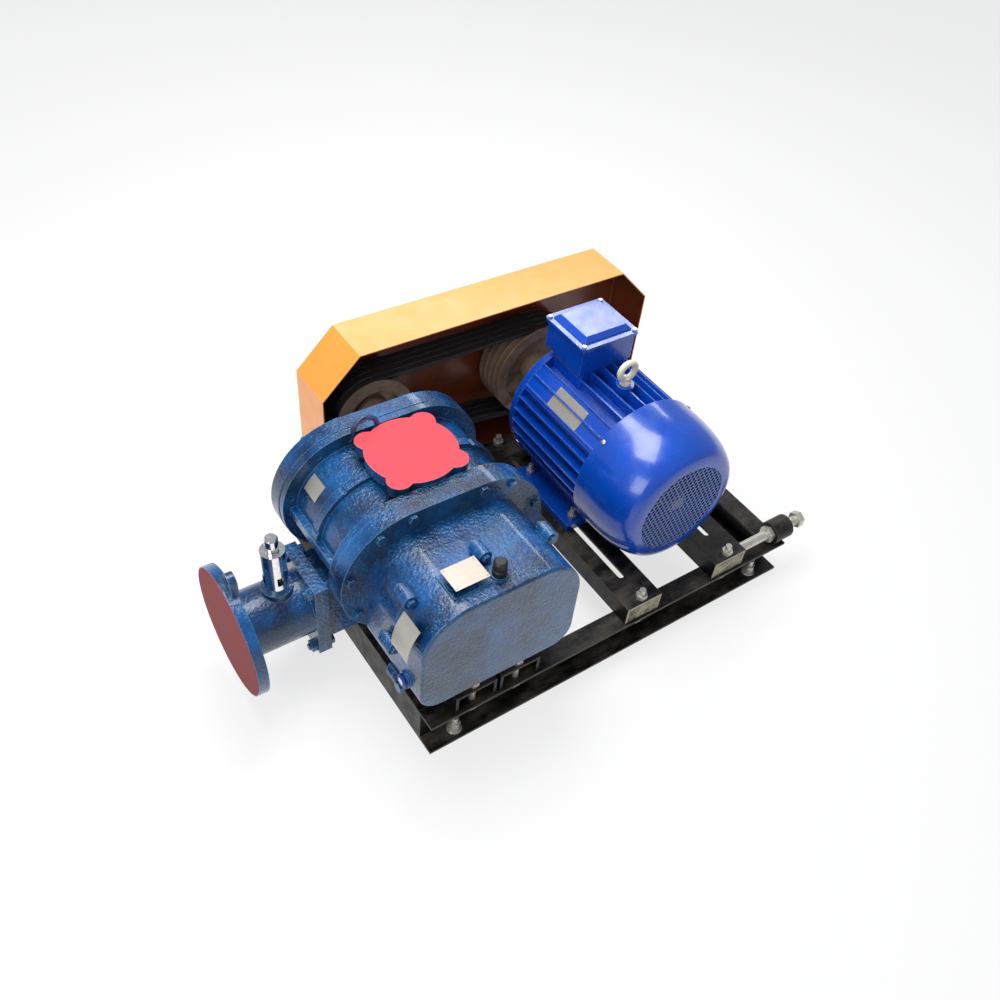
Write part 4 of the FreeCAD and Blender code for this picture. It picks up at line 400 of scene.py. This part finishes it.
def turned_iron(name, look, hub):
    """Cast iron faced on a lathe: fine rings about the hub's axis, a little rust."""
    finish = Finish(name, look.iron, 0.45, 0.25)
    centred = finish.node("Mapping", {"Vector": finish.coordinates.outputs["Object"],
                                      "Location": (-hub.x, 0, -hub.z)})
    rings = finish.node("TexWave", {"Vector": centred, "Scale": 160, "Distortion": 0.6,
                                    "Detail": 2, "Detail Scale": 40},
                        output=1, wave_type="RINGS", rings_direction="Y")
    rust = finish.between(finish.noise(38, 5, 0.7), 0.48, 0.68)
    bright_iron, rust_brown = tone(184, 160, 140), tone(112, 74, 52)
    base = finish.mixed(finish.between(rings, 0, 1, 0, 0.35), look.iron, bright_iron)
    finish.feed("Base Color", finish.mixed(finish.times(rust, 0.6), base, rust_brown))
    finish.feed("Roughness", finish.between(rust, 0, 1, 0.32, 0.7))
    rounded = finish.soft_edges(0.0012)[1]
    finish.bumps([(rings, 0.0002, 0.4), (finish.noise(400, 4), 0.0004, 0.3)], rounded)
    return finish.material


def belt_rubber(name):
    """Black rubber with the weave of its cover, and a painted highlight in grey along its edges."""
    finish = Finish(name, tone(34, 34, 36), 0.55)
    edges, rounded = finish.soft_edges(0.0010)
    weave = finish.between(finish.noise(900, 2, 0.8, (0.4, 1, 1)), 0.35, 0.65)
    base = finish.mixed(weave, tone(30, 30, 32), tone(52, 52, 54))
    # Painted highlight: grey along the edges.
    painted_edge_grey = tone(120, 122, 122)
    finish.feed("Base Color", finish.mixed(finish.times(edges, 0.7), base, painted_edge_grey))
    finish.bumps([(weave, 0.0003, 0.4)], rounded)
    return finish.material


def moulded(name, colour_value, roughness=0.45):
    """Rubber or moulded plastic with a fine grain, and a painted pale highlight along its edges."""
    finish = Finish(name, colour_value, roughness)
    grain = finish.noise(650, 3)
    edges, rounded = finish.soft_edges(0.0008)
    # Painted highlight: a paler copy of the colour along the edges.
    pale = [min(1.0, value * 2.2 + 0.02) for value in colour_value]
    finish.feed("Base Color", finish.mixed(finish.times(edges, 0.4), colour_value, pale))
    smoothest, roughest = roughness - 0.1, roughness + 0.15
    finish.feed("Roughness", finish.between(grain, 0.3, 0.7, smoothest, roughest))
    finish.bumps([(grain, 0.0003, 0.35)], rounded)
    return finish.material


def port_film(name, colour_value, edge_colour, across):
    """Coloured sheet stuck over a port: even gloss, slight wrinkles, a pale cut edge."""
    finish = Finish(name, colour_value, 0.6)
    finish.set("Specular IOR Level", 0.25)
    cloud = finish.between(finish.noise(12, 4, 0.6), 0.3, 0.75, 0, 0.25)
    base = finish.mixed(cloud, colour_value, darker(colour_value, 0.8))
    outward = -1 if across == "X" else 1
    rim = finish.between(finish.facing(across), 0.7 * outward, 0.4 * outward)
    finish.feed("Base Color", finish.mixed(rim, base, edge_colour))
    finish.bumps([(finish.noise(26, 4, 0.6), 0.0012, 0.25),
                  (finish.noise(300, 3), 0.0002, 0.2)])
    return finish.material


def data_plate(name, colour_value):
    """Bare brushed plate, left without any text."""
    finish = Finish(name, colour_value, 0.32, 0.55)
    brushed = finish.between(finish.noise(140, 4, 0.6, (0.2, 6, 6)), 0.3, 0.7)
    finish.feed("Base Color", finish.mixed(brushed, colour_value, darker(colour_value, 0.8)))
    finish.feed("Roughness", finish.between(brushed, 0, 1, 0.26, 0.44))
    finish.bumps([(brushed, 0.0002, 0.3)])
    return finish.material


def floor_paint(name):
    """Pale floor: white to the camera and to mirrors, with the object's shadow kept."""
    finish = Finish(name, (0.92, 0.92, 0.92), 0.7)
    path = finish.tree.nodes.new("ShaderNodeLightPath")
    seen = finish.most(finish.most(path.outputs["Is Camera Ray"],
                                   path.outputs["Is Glossy Ray"]),
                       path.outputs["Is Transmission Ray"])
    white = finish.node("Emission", {"Color": (1, 1, 1, 1), "Strength": 1.0})
    shade = finish.node("MixShader", {0: finish.times(seen, 0.72),
                                      1: finish.shader.outputs[0], 2: white})
    output = finish.tree.nodes["Material Output"]
    finish.tree.links.new(shade, output.inputs["Surface"])
    return finish.material


# -------------------------------------------------------- mesh utilities


SAME_PLACE = 1e-6


def piece(name, shape, material, body, sharp=math.radians(32)):
    """Turns a bmesh into an object of the scene that rides on a body."""
    bmesh.ops.remove_doubles(shape, verts=shape.verts, dist=SAME_PLACE)
    bmesh.ops.recalc_face_normals(shape, faces=shape.faces)
    mesh = bpy.data.meshes.new(name)
    for face in shape.faces:
        face.smooth = True
    shape.to_mesh(mesh)
    shape.free()
    mesh.set_sharp_from_angle(angle=sharp)
    mesh.materials.append(material)
    made = bpy.data.objects.new(name, mesh)
    bpy.context.collection.objects.link(made)
    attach(made, body)
    return made


def profile_spin(shape, points, centre, steps):
    """Spins a profile of (radius, station) points about an axis along Y."""
    ring = [shape.verts.new((centre.x + radius, station, centre.z))
            for radius, station in points]
    edges = [shape.edges.new(pair) for pair in zip(ring, ring[1:])]
    bmesh.ops.spin(shape, geom=ring + edges, cent=centre, axis=(0, 1, 0),
                   angle=math.tau, steps=steps, use_merge=True)
    bmesh.ops.remove_doubles(shape, verts=shape.verts, dist=SAME_PLACE)


def thickened(shape, thickness):
    """Gives the whole sheet its thickness."""
    faces = shape.faces[:]
    bmesh.ops.recalc_face_normals(shape, faces=faces)
    bmesh.ops.solidify(shape, geom=faces, thickness=thickness)


def slab(shape, size, place):
    """A block of the given size, with its centre at place."""
    made = bmesh.ops.create_cube(shape, size=1.0)["verts"]
    bmesh.ops.scale(shape, vec=size, verts=made)
    bmesh.ops.translate(shape, vec=place, verts=made)


def domes(shape, places, radius, flatness, sides):
    """Round heads, flattened along Z in each place's own frame."""
    for place in places:
        bmesh.ops.create_uvsphere(shape, u_segments=sides, v_segments=sides // 2,
                                  radius=radius,
                                  matrix=place @ Matrix.Diagonal((1, 1, flatness, 1)))


def bevelled(shape, width, segments=2):
    """Rounds every edge of the shape."""
    bmesh.ops.bevel(shape, geom=list(shape.edges), offset=width, offset_type="OFFSET",
                    segments=segments, profile=0.5, affect="EDGES", material=-1)


# ---------------------------------------------------------- the finishes

NODES_OF = {
    "pump": ("front_end_plate", "rear_end_plate", "rotor_casing", "gear_housing",
             "gear_cover", "drive_bearing_cover", "driven_bearing_cover",
             "gear_cover_bolts", "end_plate_bolts", "drain_plug", "casing_eye_bolt",
             "outlet_duct", "outlet_pipe", "outlet_joint_bolts"),
    "motor": ("motor_frame", "drive_end_bell", "fan_end_bell", "terminal_box",
              "terminal_lid", "fan_cover"),
    "guard": ("belt_guard",),
    "frame": ("front_rail", "rear_rail", "left_rail", "right_rail", "tension_boss",
              "guard_brackets", "pump_rail_left", "pump_rail_right"),
    "rail": ("motor_rail_left", "motor_rail_right"),
    "zinc": ("pump_rail_bolts", "motor_rail_bolts", "pump_foot_bolts", "motor_foot_bolts",
             "guard_bolts", "tension_screw", "tension_lock_nut", "terminal_screws"),
    "steel": ("bearings", "drive_shaft", "driven_shaft", "drive_gear", "driven_gear",
              "motor_shaft", "valve_spring"),
    "chrome": ("valve_body", "valve_disc"),
    "casting": ("drive_impeller", "driven_impeller"),
    "core": ("stator", "rotor_core"),
    "belt": ("v_belts",),
    "seal": ("shaft_seals",),
    "black_plastic": ("breather_plug", "cooling_fan"),
    "eye": ("motor_eye_bolt",),
    "sight": ("sight_glass",),
}


class PUMP_OT_finishes(bpy.types.Operator):
    """Give every plain part of the pump set its paint or metal"""

    bl_idname = "pump.finishes"
    bl_label = "Finishes"

    def execute(self, context):
        look = context.scene.pump_colours
        rail_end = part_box("motor_rail_left")[0][1]
        made = {
            "pump": hammered_enamel("pump_enamel", look),
            "motor": smooth_enamel("motor_enamel", look),
            "guard": guard_enamel("guard_enamel", look),
            "frame": frame_enamel("frame_enamel", look),
            "rail": frame_enamel("rail_enamel", look, rail_end),
            "zinc": plated_steel("zinc_plate", look.zinc, 0.3, 0.6),
            "steel": plated_steel("machined_steel", tone(176, 174, 170), 0.28),
            "chrome": chrome("valve_chrome"),
            "casting": turned_iron("rotor_iron", look, middle("drive_impeller")),
            "core": plated_steel("core_steel", tone(96, 92, 88), 0.5),
            "belt": belt_rubber("belt_rubber"),
            "seal": moulded("seal_rubber", tone(44, 34, 28)),
            "black_plastic": moulded("black_plastic", tone(30, 29, 28)),
            "eye": moulded("eye_coat", tone(226, 222, 205), 0.4),
            "sight": moulded("sight_ring", tone(14, 54, 132), 0.25),
            "grille": moulded("grille_enamel", look.grille_blue, 0.5),
            "sawn": sawn_steel("sawn_steel", look),
        }
        for finish, nodes in NODES_OF.items():
            for node in nodes:
                self.paint(node, made[finish])
        for pulley in ("blower_pulley", "motor_pulley"):
            self.paint(pulley, turned_iron(pulley + "_iron", look, middle(pulley)))
        return {"FINISHED"}

    @staticmethod
    def paint(node, material):
        mesh = frame["nodes"][node].data
        mesh.materials.clear()
        mesh.materials.append(material)


# ------------------------------------------------------------ new pieces


class PUMP_OT_port_films(bpy.types.Operator):
    """Cover both ports with the coloured sheets they are shipped with"""

    bl_idname = "pump.port_films"
    bl_label = "Port films"

    def execute(self, context):
        look = context.scene.pump_colours
        details = context.scene.pump_details
        self.inlet(look, details)
        self.outlet(look, details)
        return {"FINISHED"}

    @staticmethod
    def inlet(look, details):
        """The sheet follows the flange's round outline and its four ears."""
        flange_radius = 0.0755
        flange_ear = 0.020
        raggedness = 0.0008
        mount = named(frame["record"]["mounts"], "inlet_bolts")
        port = Vector(mount["pos_m"])
        bolt_radius = mount["dims"]["pcd_mm"] / 2000
        ear = flange_ear + details.film_overlap
        disc = flange_radius + details.film_overlap
        shape = bmesh.new()
        rim = bmesh.ops.create_circle(shape, cap_ends=True, radius=disc, segments=180)["verts"]
        for vertex in rim:
            angle = math.atan2(vertex.co.y, vertex.co.x)
            off = (angle % (math.pi / 2)) - math.pi / 4
            reach = disc
            across = bolt_radius * math.sin(off)
            if abs(across) < ear:
                reach = max(disc, bolt_radius * math.cos(off)
                            + math.sqrt(ear ** 2 - across ** 2))
            reach += raggedness * noise.noise(Vector((angle * 5, 0, 3)))
            vertex.co = vertex.co.normalized() * reach
        thickened(shape, details.film_thickness)
        lowest = min(vertex.co.z for vertex in shape.verts)
        bmesh.ops.translate(shape, vec=port - Vector((0, 0, lowest)), verts=shape.verts)
        film = port_film("inlet_film", look.film_red, tone(255, 214, 214), "Z")
        piece("inlet_film", shape, film, "frame")

    @staticmethod
    def outlet(look, details):
        """A round sheet, a little smaller than the flange."""
        inset = 0.002
        raggedness = 0.006
        port = Vector(named(frame["record"]["mounts"], "outlet_bolts")["pos_m"])
        low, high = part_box("outlet_pipe")
        radius = (high[1] - low[1]) / 2 - inset
        shape = bmesh.new()
        turned = Matrix.Rotation(math.radians(-90), 4, "Y")
        bmesh.ops.create_circle(shape, cap_ends=True, radius=radius, segments=128,
                                matrix=turned)
        for vertex in shape.verts:
            angle = math.atan2(vertex.co.z, vertex.co.y)
            vertex.co *= 1 + raggedness * noise.noise(Vector((angle * 3, 1, 5)))
        thickened(shape, details.film_thickness)
        reach = max(vertex.co.x for vertex in shape.verts)
        bmesh.ops.translate(shape, vec=port - Vector((reach, 0, 0)), verts=shape.verts)
        film = port_film("outlet_film", look.film_dark, tone(196, 90, 90), "X")
        piece("outlet_film", shape, film, "frame")


class PUMP_OT_fan_cover(bpy.types.Operator):
    """Press the motor's fan cover from sheet, with a fine hexagonal grille"""

    bl_idname = "pump.fan_cover"
    bl_label = "Fan cover"

    def execute(self, context):
        details = context.scene.pump_details
        low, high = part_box("fan_cover")
        self.centre = Vector(((low[0] + high[0]) / 2, 0, (low[2] + high[2]) / 2))
        self.radius = (high[0] - low[0]) / 2
        self.face = low[1]
        self.open_end = high[1]
        enamel = bpy.data.materials["motor_enamel"]
        shell = self.shell(details, enamel)
        self.grille(details, bpy.data.materials["grille_enamel"])
        self.screws()
        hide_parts("fan_cover")
        return {"FINISHED"}

    def shell(self, details, enamel):
        """Straight skirt, round shoulder and a flat rim round the grille."""
        sheet = 0.0018
        shoulder = 0.033
        depth = 0.100
        bead, bead_width = 0.0012, 0.0035
        taper = 0.0008
        steps = 14
        inner = details.grille_radius - 0.003
        points = [(inner, self.face + sheet), (inner, self.face),
                  (self.radius - shoulder - bead_width, self.face),
                  (self.radius - shoulder, self.face + bead)]
        for step in range(1, steps + 1):
            turn = math.pi / 2 * step / steps
            points.append((self.radius - taper - shoulder * (1 - math.sin(turn)),
                           self.face + bead + depth * (1 - math.cos(turn))))
        points.append((self.radius, self.open_end))
        shape = bmesh.new()
        profile_spin(shape, points, self.centre, details.cover_steps)
        thickened(shape, sheet)
        return piece("fan_cover_shell", shape, enamel, "motor_carriage")

    def grille(self, details, enamel):
        """One hexagon with a hole, copied over the field and joined into a sheet."""
        sheet = 0.0012
        sunk = 0.0008
        seam = 1e-5
        pitch = details.grille_pitch
        row_step = pitch * math.sqrt(0.75)
        rows = int(details.grille_radius / row_step)
        columns = int(details.grille_radius / pitch) + 1
        turned = (Matrix.Rotation(math.radians(90), 4, "X")
                  @ Matrix.Rotation(math.radians(30), 4, "Z"))
        shape = bmesh.new()
        for row in range(-rows, rows + 1):
            for column in range(-columns, columns + 1):
                x = (column + (row % 2) / 2) * pitch
                z = row * row_step
                if math.hypot(x, z) > details.grille_radius:
                    continue
                place = Matrix.Translation((self.centre.x + x, self.face + sunk,
                                            self.centre.z + z))
                bmesh.ops.create_circle(shape, cap_ends=True, segments=6,
                                        radius=pitch / math.sqrt(3), matrix=place @ turned)
        bmesh.ops.remove_doubles(shape, verts=shape.verts, dist=seam)
        cells = shape.faces[:]
        bmesh.ops.inset_individual(shape, faces=cells, thickness=details.grille_web / 2)
        bmesh.ops.delete(shape, geom=cells, context="FACES_ONLY")
        thickened(shape, sheet)
        piece("fan_grille", shape, enamel, "motor_carriage")

    def screws(self):
        """Four pan screws that hold the skirt to the end bell's lugs."""
        proud = 0.0006
        from_edge = 0.008
        head_radius = 0.0045
        places = []
        for degrees in (45, 135, 225, 315):
            turn = math.radians(degrees)
            outward = Vector((math.cos(turn), 0, math.sin(turn)))
            place = self.centre + outward * (self.radius + proud)
            place.y = self.open_end - from_edge
            upright = outward.to_track_quat("Z", "Y").to_matrix().to_4x4()
            places.append(Matrix.Translation(place) @ upright)
        shape = bmesh.new()
        domes(shape, places, head_radius, flatness=0.45, sides=16)
        piece("fan_cover_screws", shape, bpy.data.materials["zinc_plate"],
              "motor_carriage")


class PUMP_OT_casing_eye(bpy.types.Operator):
    """Forge the casing's lifting eye with its full ring"""

    bl_idname = "pump.casing_eye"
    bl_label = "Casing eye"

    def execute(self, context):
        low, high = (Vector(corner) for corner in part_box("casing_eye_bolt"))
        off_boss = 0.003
        ring_lean, ring_height = 0.0025, 0.0309
        ring_radius, ring_steps = 0.0213, 72
        wire_radius, wire_sides = 0.0042, 20
        collar, shank = (0.0090, 0.0075, 0.0080), (0.0062, 0.0110, 0.0060)
        seat = Vector(((low.x + high.x) / 2 - off_boss, (low.y + high.y) / 2, low.z))
        centre = seat + Vector((-ring_lean, 0, ring_height))
        shape = bmesh.new()
        section = Matrix.Translation(centre + Vector((ring_radius, 0, 0)))
        bmesh.ops.create_circle(shape, segments=wire_sides, radius=wire_radius, matrix=section)
        bmesh.ops.spin(shape, geom=shape.verts[:] + shape.edges[:], cent=centre,
                       axis=(0, 1, 0), angle=math.tau, steps=ring_steps, use_merge=True)
        for radius, top, depth in (collar, shank):
            place = Matrix.Translation(seat + Vector((0, 0, top - depth / 2)))
            bmesh.ops.create_cone(shape, cap_ends=True, segments=32, radius1=radius,
                                  radius2=radius * 0.85, depth=depth, matrix=place)
        made = piece("casing_eye", shape, bpy.data.materials["pump_enamel"], "frame")
        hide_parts("casing_eye_bolt")
        return {"FINISHED"}


class PUMP_OT_frame_fittings(bpy.types.Operator):
    """Close the motor rails' ends and stand the anchor bolts in the long rails"""

    bl_idname = "pump.frame_fittings"
    bl_label = "Frame fittings"

    def execute(self, context):
        self.rail_ends()
        self.anchor_bolts()
        return {"FINISHED"}

    @staticmethod
    def rail_ends():
        """A plate set into each end of the two channels that carry the motor."""
        wall = 0.0053
        plate = 0.003
        shape = bmesh.new()
        for rail in ("motor_rail_left", "motor_rail_right"):
            low, high = (Vector(corner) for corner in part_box(rail))
            size = (high.x - low.x - wall * 2, plate, high.z - low.z - wall)
            for y in (low.y + plate / 2, high.y - plate / 2):
                slab(shape, size, ((low.x + high.x) / 2, y, low.z + size[2] / 2))
        bevelled(shape, width=0.0005)
        piece("motor_rail_ends", shape, bpy.data.materials["sawn_steel"], "motor_carriage")

    @staticmethod
    def anchor_bolts():
        """Stud, washer and two nuts at each hole of the front and rear rails."""
        holes = named(frame["record"]["mounts"], "base_anchor_holes")["dims"]
        parts = {  # radius, bottom, top, sides
            "stud": (0.0060, 0.0010, 0.0400, 24),
            "washer": (0.0135, 0.0052, 0.0078, 32),
            "nut": (0.0108, 0.0080, 0.0180, 6),
            "lock nut": (0.0108, 0.0182, 0.0252, 6),
        }
        shape = bmesh.new()
        for x_side in (-1, 1):
            for y_side in (-1, 1):
                x = holes["spacing_x_mm"] / 2000 * x_side
                y = holes["spacing_y_mm"] / 2000 * y_side
                for radius, bottom, top, sides in parts.values():
                    place = Matrix.Translation((x, y, (bottom + top) / 2))
                    bmesh.ops.create_cone(shape, cap_ends=True, segments=sides,
                                          radius1=radius, radius2=radius,
                                          depth=top - bottom, matrix=place)
        bevelled(shape, width=0.0004, segments=1)
        piece("anchor_bolts", shape, bpy.data.materials["zinc_plate"], "frame")


class PUMP_OT_data_plates(bpy.types.Operator):
    """Rivet the bare data plates to the motor, the gear case and the casing"""

    bl_idname = "pump.data_plates"
    bl_label = "Data plates"

    def execute(self, context):
        thickness = context.scene.pump_details.plate_thickness
        silver = data_plate("plate_silver", tone(190, 186, 178))
        warm = data_plate("plate_warm", tone(196, 184, 172))
        self.cover_plate(warm, thickness)
        shaft = middle("driven_shaft")
        case_x, case_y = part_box("gear_cover")[0][:2]
        beyond_case = 0.004
        case_radius = shaft.x - case_x - beyond_case
        self.curved_plate("gear_case_side_plate", silver, shaft, case_radius,
                          along=(case_y + 0.014, case_y + 0.060), degrees=(142, 180),
                          thickness=thickness)
        casing_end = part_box("rotor_casing")[1][1]
        barrel_radius = 0.1001
        self.curved_plate("casing_plate", silver, shaft, barrel_radius,
                          along=(casing_end - 0.060, casing_end - 0.022),
                          degrees=(132, 150), thickness=thickness)
        self.motor_plate(silver, thickness)
        return {"FINISHED"}

    @staticmethod
    def rivets(shape, place, size, thickness):
        """A flat round head in each corner of a plate."""
        from_edge = 0.004
        head_radius = 0.0018
        across, along = size[0] / 2 - from_edge, size[1] / 2 - from_edge
        corners = [Vector((x * across, y * along, thickness / 2))
                   for x in (-1, 1) for y in (-1, 1)]
        domes(shape, [Matrix.Translation(place + corner) for corner in corners],
              head_radius, flatness=0.5, sides=12)

    def cover_plate(self, material, thickness):
        """The plate on top of the gear cover, beside the breather."""
        from_breather = Vector((-0.0515, 0.016, 0.0055))
        place = middle("breather_plug") + from_breather
        size = (0.060, 0.046, thickness)
        shape = bmesh.new()
        slab(shape, size, place)
        self.rivets(shape, place, size, thickness)
        piece("gear_cover_plate", shape, material, "frame")

    @staticmethod
    def curved_plate(name, material, centre, radius, along, degrees, thickness):
        """A plate that wraps a round body: a grid rolled about the shaft's line."""
        reach = radius + thickness
        half = 0.5
        shape = bmesh.new()
        bmesh.ops.create_grid(shape, x_segments=12, y_segments=1, size=half)
        for vertex in shape.verts:
            turn = math.radians(degrees[0] + (vertex.co.x + half) * (degrees[1] - degrees[0]))
            y = along[0] + (vertex.co.y + half) * (along[1] - along[0])
            vertex.co = (centre.x + reach * math.cos(turn), y,
                         centre.z + reach * math.sin(turn))
        thickened(shape, thickness)
        piece(name, shape, material, "frame")

    def motor_plate(self, material, thickness):
        """A plate on the motor's flat pad, turned with it about the shaft's line."""
        pad_radius = 0.128
        pad_turn = math.radians(-47)
        from_end = 0.100
        size = (0.044, 0.086, thickness)
        place = Vector((0, 0, pad_radius + thickness))
        shape = bmesh.new()
        slab(shape, size, place)
        bevelled(shape, width=0.0002, segments=1)
        self.rivets(shape, place, size, thickness)
        motor = middle("motor_shaft")
        stand = Matrix.Translation((motor.x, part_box("motor_frame")[0][1] + from_end, motor.z))
        bmesh.ops.transform(shape, matrix=stand @ Matrix.Rotation(pad_turn, 4, "Y"),
                            verts=shape.verts)
        piece("motor_data_plate", shape, material, "motor_carriage")


class PUMP_OT_tension_thread(bpy.types.Operator):
    """Cut the tension screw's thread as a real helix"""

    bl_idname = "pump.tension_thread"
    bl_label = "Tension screw's thread"

    def execute(self, context):
        pitch = context.scene.pump_details.thread_pitch
        past_nut = 0.001
        plain_tip = 0.014
        crest, depth = 0.01005, 0.0011
        steps = 32
        joint = named(frame["joints"], "tension_screw_turn")
        centre = Vector((0, joint["pos_m"][1], joint["pos_m"][2]))
        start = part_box("tension_lock_nut")[1][0] + past_nut
        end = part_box("tension_screw")[1][0] - plain_tip
        turns = int((end - start) / pitch)
        groove = ((0.0, crest), (0.2, crest), (0.5, crest - depth), (0.8, crest), (1.0, crest))
        shape = bmesh.new()
        verts = [shape.verts.new((start + share * pitch, centre.y, centre.z + reach))
                 for share, reach in groove]
        edges = [shape.edges.new(pair) for pair in zip(verts, verts[1:])]
        bmesh.ops.spin(shape, geom=verts + edges, cent=centre, axis=(1, 0, 0),
                       dvec=(pitch / steps, 0, 0), angle=math.tau * turns,
                       steps=steps * turns, use_merge=False)
        piece("tension_screw_thread", shape, bpy.data.materials["zinc_plate"],
              "tension_screw", sharp=math.radians(60))
        return {"FINISHED"}


class PUMP_OT_sight_lens(bpy.types.Operator):
    """Set the clear lens into the oil sight glass"""

    bl_idname = "pump.sight_lens"
    bl_label = "Sight glass lens"

    def execute(self, context):
        lens_radius = 0.0068
        bulge = 0.18
        sunk = 0.0004
        centre = middle("sight_glass")
        glass = Finish("sight_lens", tone(196, 214, 224), 0.08)
        glass.set("Coat Weight", 1.0)
        above_oil = glass.between(glass.place("Z"), centre.z - 0.001, centre.z + 0.0006)
        oil = glass.mixed(glass.noise(60), tone(150, 112, 46), tone(122, 84, 30))
        glass.feed("Base Color", glass.mixed(above_oil, oil, tone(206, 220, 228)))
        front = Matrix.Translation((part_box("sight_glass")[0][0] + sunk, centre.y, centre.z))
        shape = bmesh.new()
        bmesh.ops.create_uvsphere(shape, u_segments=32, v_segments=16, radius=lens_radius,
                                  matrix=front @ Matrix.Diagonal((bulge, 1, 1, 1)))
        piece("sight_glass_lens", shape, glass.material, "frame")
        return {"FINISHED"}


# ------------------------------------------------------------- the stage


class PUMP_OT_stage(bpy.types.Operator):
    """Set the pale floor, the soft lights and the camera"""

    bl_idname = "pump.stage"
    bl_label = "Stage"

    def execute(self, context):
        stage = context.scene.pump_stage
        self.floor()
        self.world(context.scene, stage)
        self.lights(stage)
        self.camera(context.scene, stage)
        context.scene.view_settings.view_transform = "Standard"
        return {"FINISHED"}

    @staticmethod
    def floor():
        """A wide pale floor under the base frame."""
        shape = bmesh.new()
        bmesh.ops.create_grid(shape, x_segments=1, y_segments=1, size=8)
        mesh = bpy.data.meshes.new("floor")
        shape.to_mesh(mesh)
        shape.free()
        mesh.materials.append(floor_paint("floor_paint"))
        floor = bpy.data.objects.new("floor", mesh)
        bpy.context.collection.objects.link(floor)

    @staticmethod
    def world(scene, stage):
        """An even light that the camera sees as white."""
        world = bpy.data.worlds.new("even_light")
        world.use_nodes = True
        tree = world.node_tree
        background = tree.nodes["Background"]
        background.inputs["Color"].default_value = (0.93, 0.96, 1.0, 1.0)
        background.inputs["Strength"].default_value = stage.daylight
        white = tree.nodes.new("ShaderNodeBackground")
        path = tree.nodes.new("ShaderNodeLightPath")
        mix = tree.nodes.new("ShaderNodeMixShader")
        tree.links.new(path.outputs["Is Camera Ray"], mix.inputs[0])
        tree.links.new(background.outputs[0], mix.inputs[1])
        tree.links.new(white.outputs[0], mix.inputs[2])
        tree.links.new(mix.outputs[0], tree.nodes["World Output"].inputs["Surface"])
        scene.world = world

    @staticmethod
    def lights(stage):
        """Rectangular lamps, each with its share of the top light's power."""
        for name, share, size, place, aim in (
                ("top_light", 1.0, (1.6, 1.0), (-0.3, 0.5, 2.4), (0, 0, 0.2)),
                ("window_light", 0.45, (1.2, 1.2), (-2.2, -0.8, 1.6), (0, 0, 0.2)),
                ("rear_strip", 0.35, (2.0, 0.3), (1.2, 1.8, 1.9), (0, 0, 0.3))):
            lamp = bpy.data.lights.new(name, "AREA")
            lamp.energy = stage.top_light * share
            lamp.shape = "RECTANGLE"
            lamp.size, lamp.size_y = size
            made = bpy.data.objects.new(name, lamp)
            bpy.context.collection.objects.link(made)
            made.location = place
            away = Vector(place) - Vector(aim)
            made.rotation_euler = away.to_track_quat("Z", "Y").to_euler()

    @staticmethod
    def camera(scene, stage):
        lens = bpy.data.cameras.new("camera")
        lens.lens = stage.lens
        lens.sensor_width = 36
        lens.shift_x, lens.shift_y = stage.shift
        lens.clip_start = 0.05
        camera = bpy.data.objects.new("camera", lens)
        bpy.context.collection.objects.link(camera)
        turn = (Matrix.Rotation(stage.azimuth, 4, "Z")
                @ Matrix.Rotation(math.pi / 2 - stage.elevation, 4, "X")
                @ Matrix.Rotation(stage.roll, 4, "Z"))
        camera.matrix_world = Matrix.Translation(stage.place) @ turn
        scene.camera = camera


# ------------------------------------------------------- panel and main


class PUMP_PT_panel(bpy.types.Panel):
    """Buttons and settings of the pump set"""

    bl_idname = "PUMP_PT_panel"
    bl_label = "Roots pump set"
    bl_space_type = "VIEW_3D"
    bl_region_type = "UI"
    bl_category = "Pump"

    def draw(self, context):
        for operator in OPERATORS:
            self.layout.operator(operator.bl_idname)
        for group in (context.scene.pump_colours, context.scene.pump_details,
                      context.scene.pump_stage):
            column = self.layout.column(align=True)
            for name in group.__annotations__:
                column.prop(group, name)


OPERATORS = (PUMP_OT_finishes, PUMP_OT_port_films, PUMP_OT_fan_cover,
             PUMP_OT_casing_eye, PUMP_OT_frame_fittings, PUMP_OT_data_plates,
             PUMP_OT_tension_thread, PUMP_OT_sight_lens, PUMP_OT_stage)
GROUPS = {"pump_colours": PumpColours, "pump_details": PumpDetails, "pump_stage": PumpStage}


def register():
    for group in GROUPS.values():
        bpy.utils.register_class(group)
    for operator in OPERATORS:
        bpy.utils.register_class(operator)
    bpy.utils.register_class(PUMP_PT_panel)
    for name, group in GROUPS.items():
        setattr(bpy.types.Scene, name, PointerProperty(type=group))


def unregister():
    for name in GROUPS:
        delattr(bpy.types.Scene, name)
    bpy.utils.unregister_class(PUMP_PT_panel)
    for operator in reversed(OPERATORS):
        bpy.utils.unregister_class(operator)
    for group in GROUPS.values():
        bpy.utils.unregister_class(group)


def main():
    register()
    bpy.ops.pump.finishes()
    bpy.ops.pump.port_films()
    bpy.ops.pump.fan_cover()
    bpy.ops.pump.casing_eye()
    bpy.ops.pump.frame_fittings()
    bpy.ops.pump.data_plates()
    bpy.ops.pump.tension_thread()
    bpy.ops.pump.sight_lens()
    bpy.ops.pump.stage()


if __name__ == "__main__":
    main()
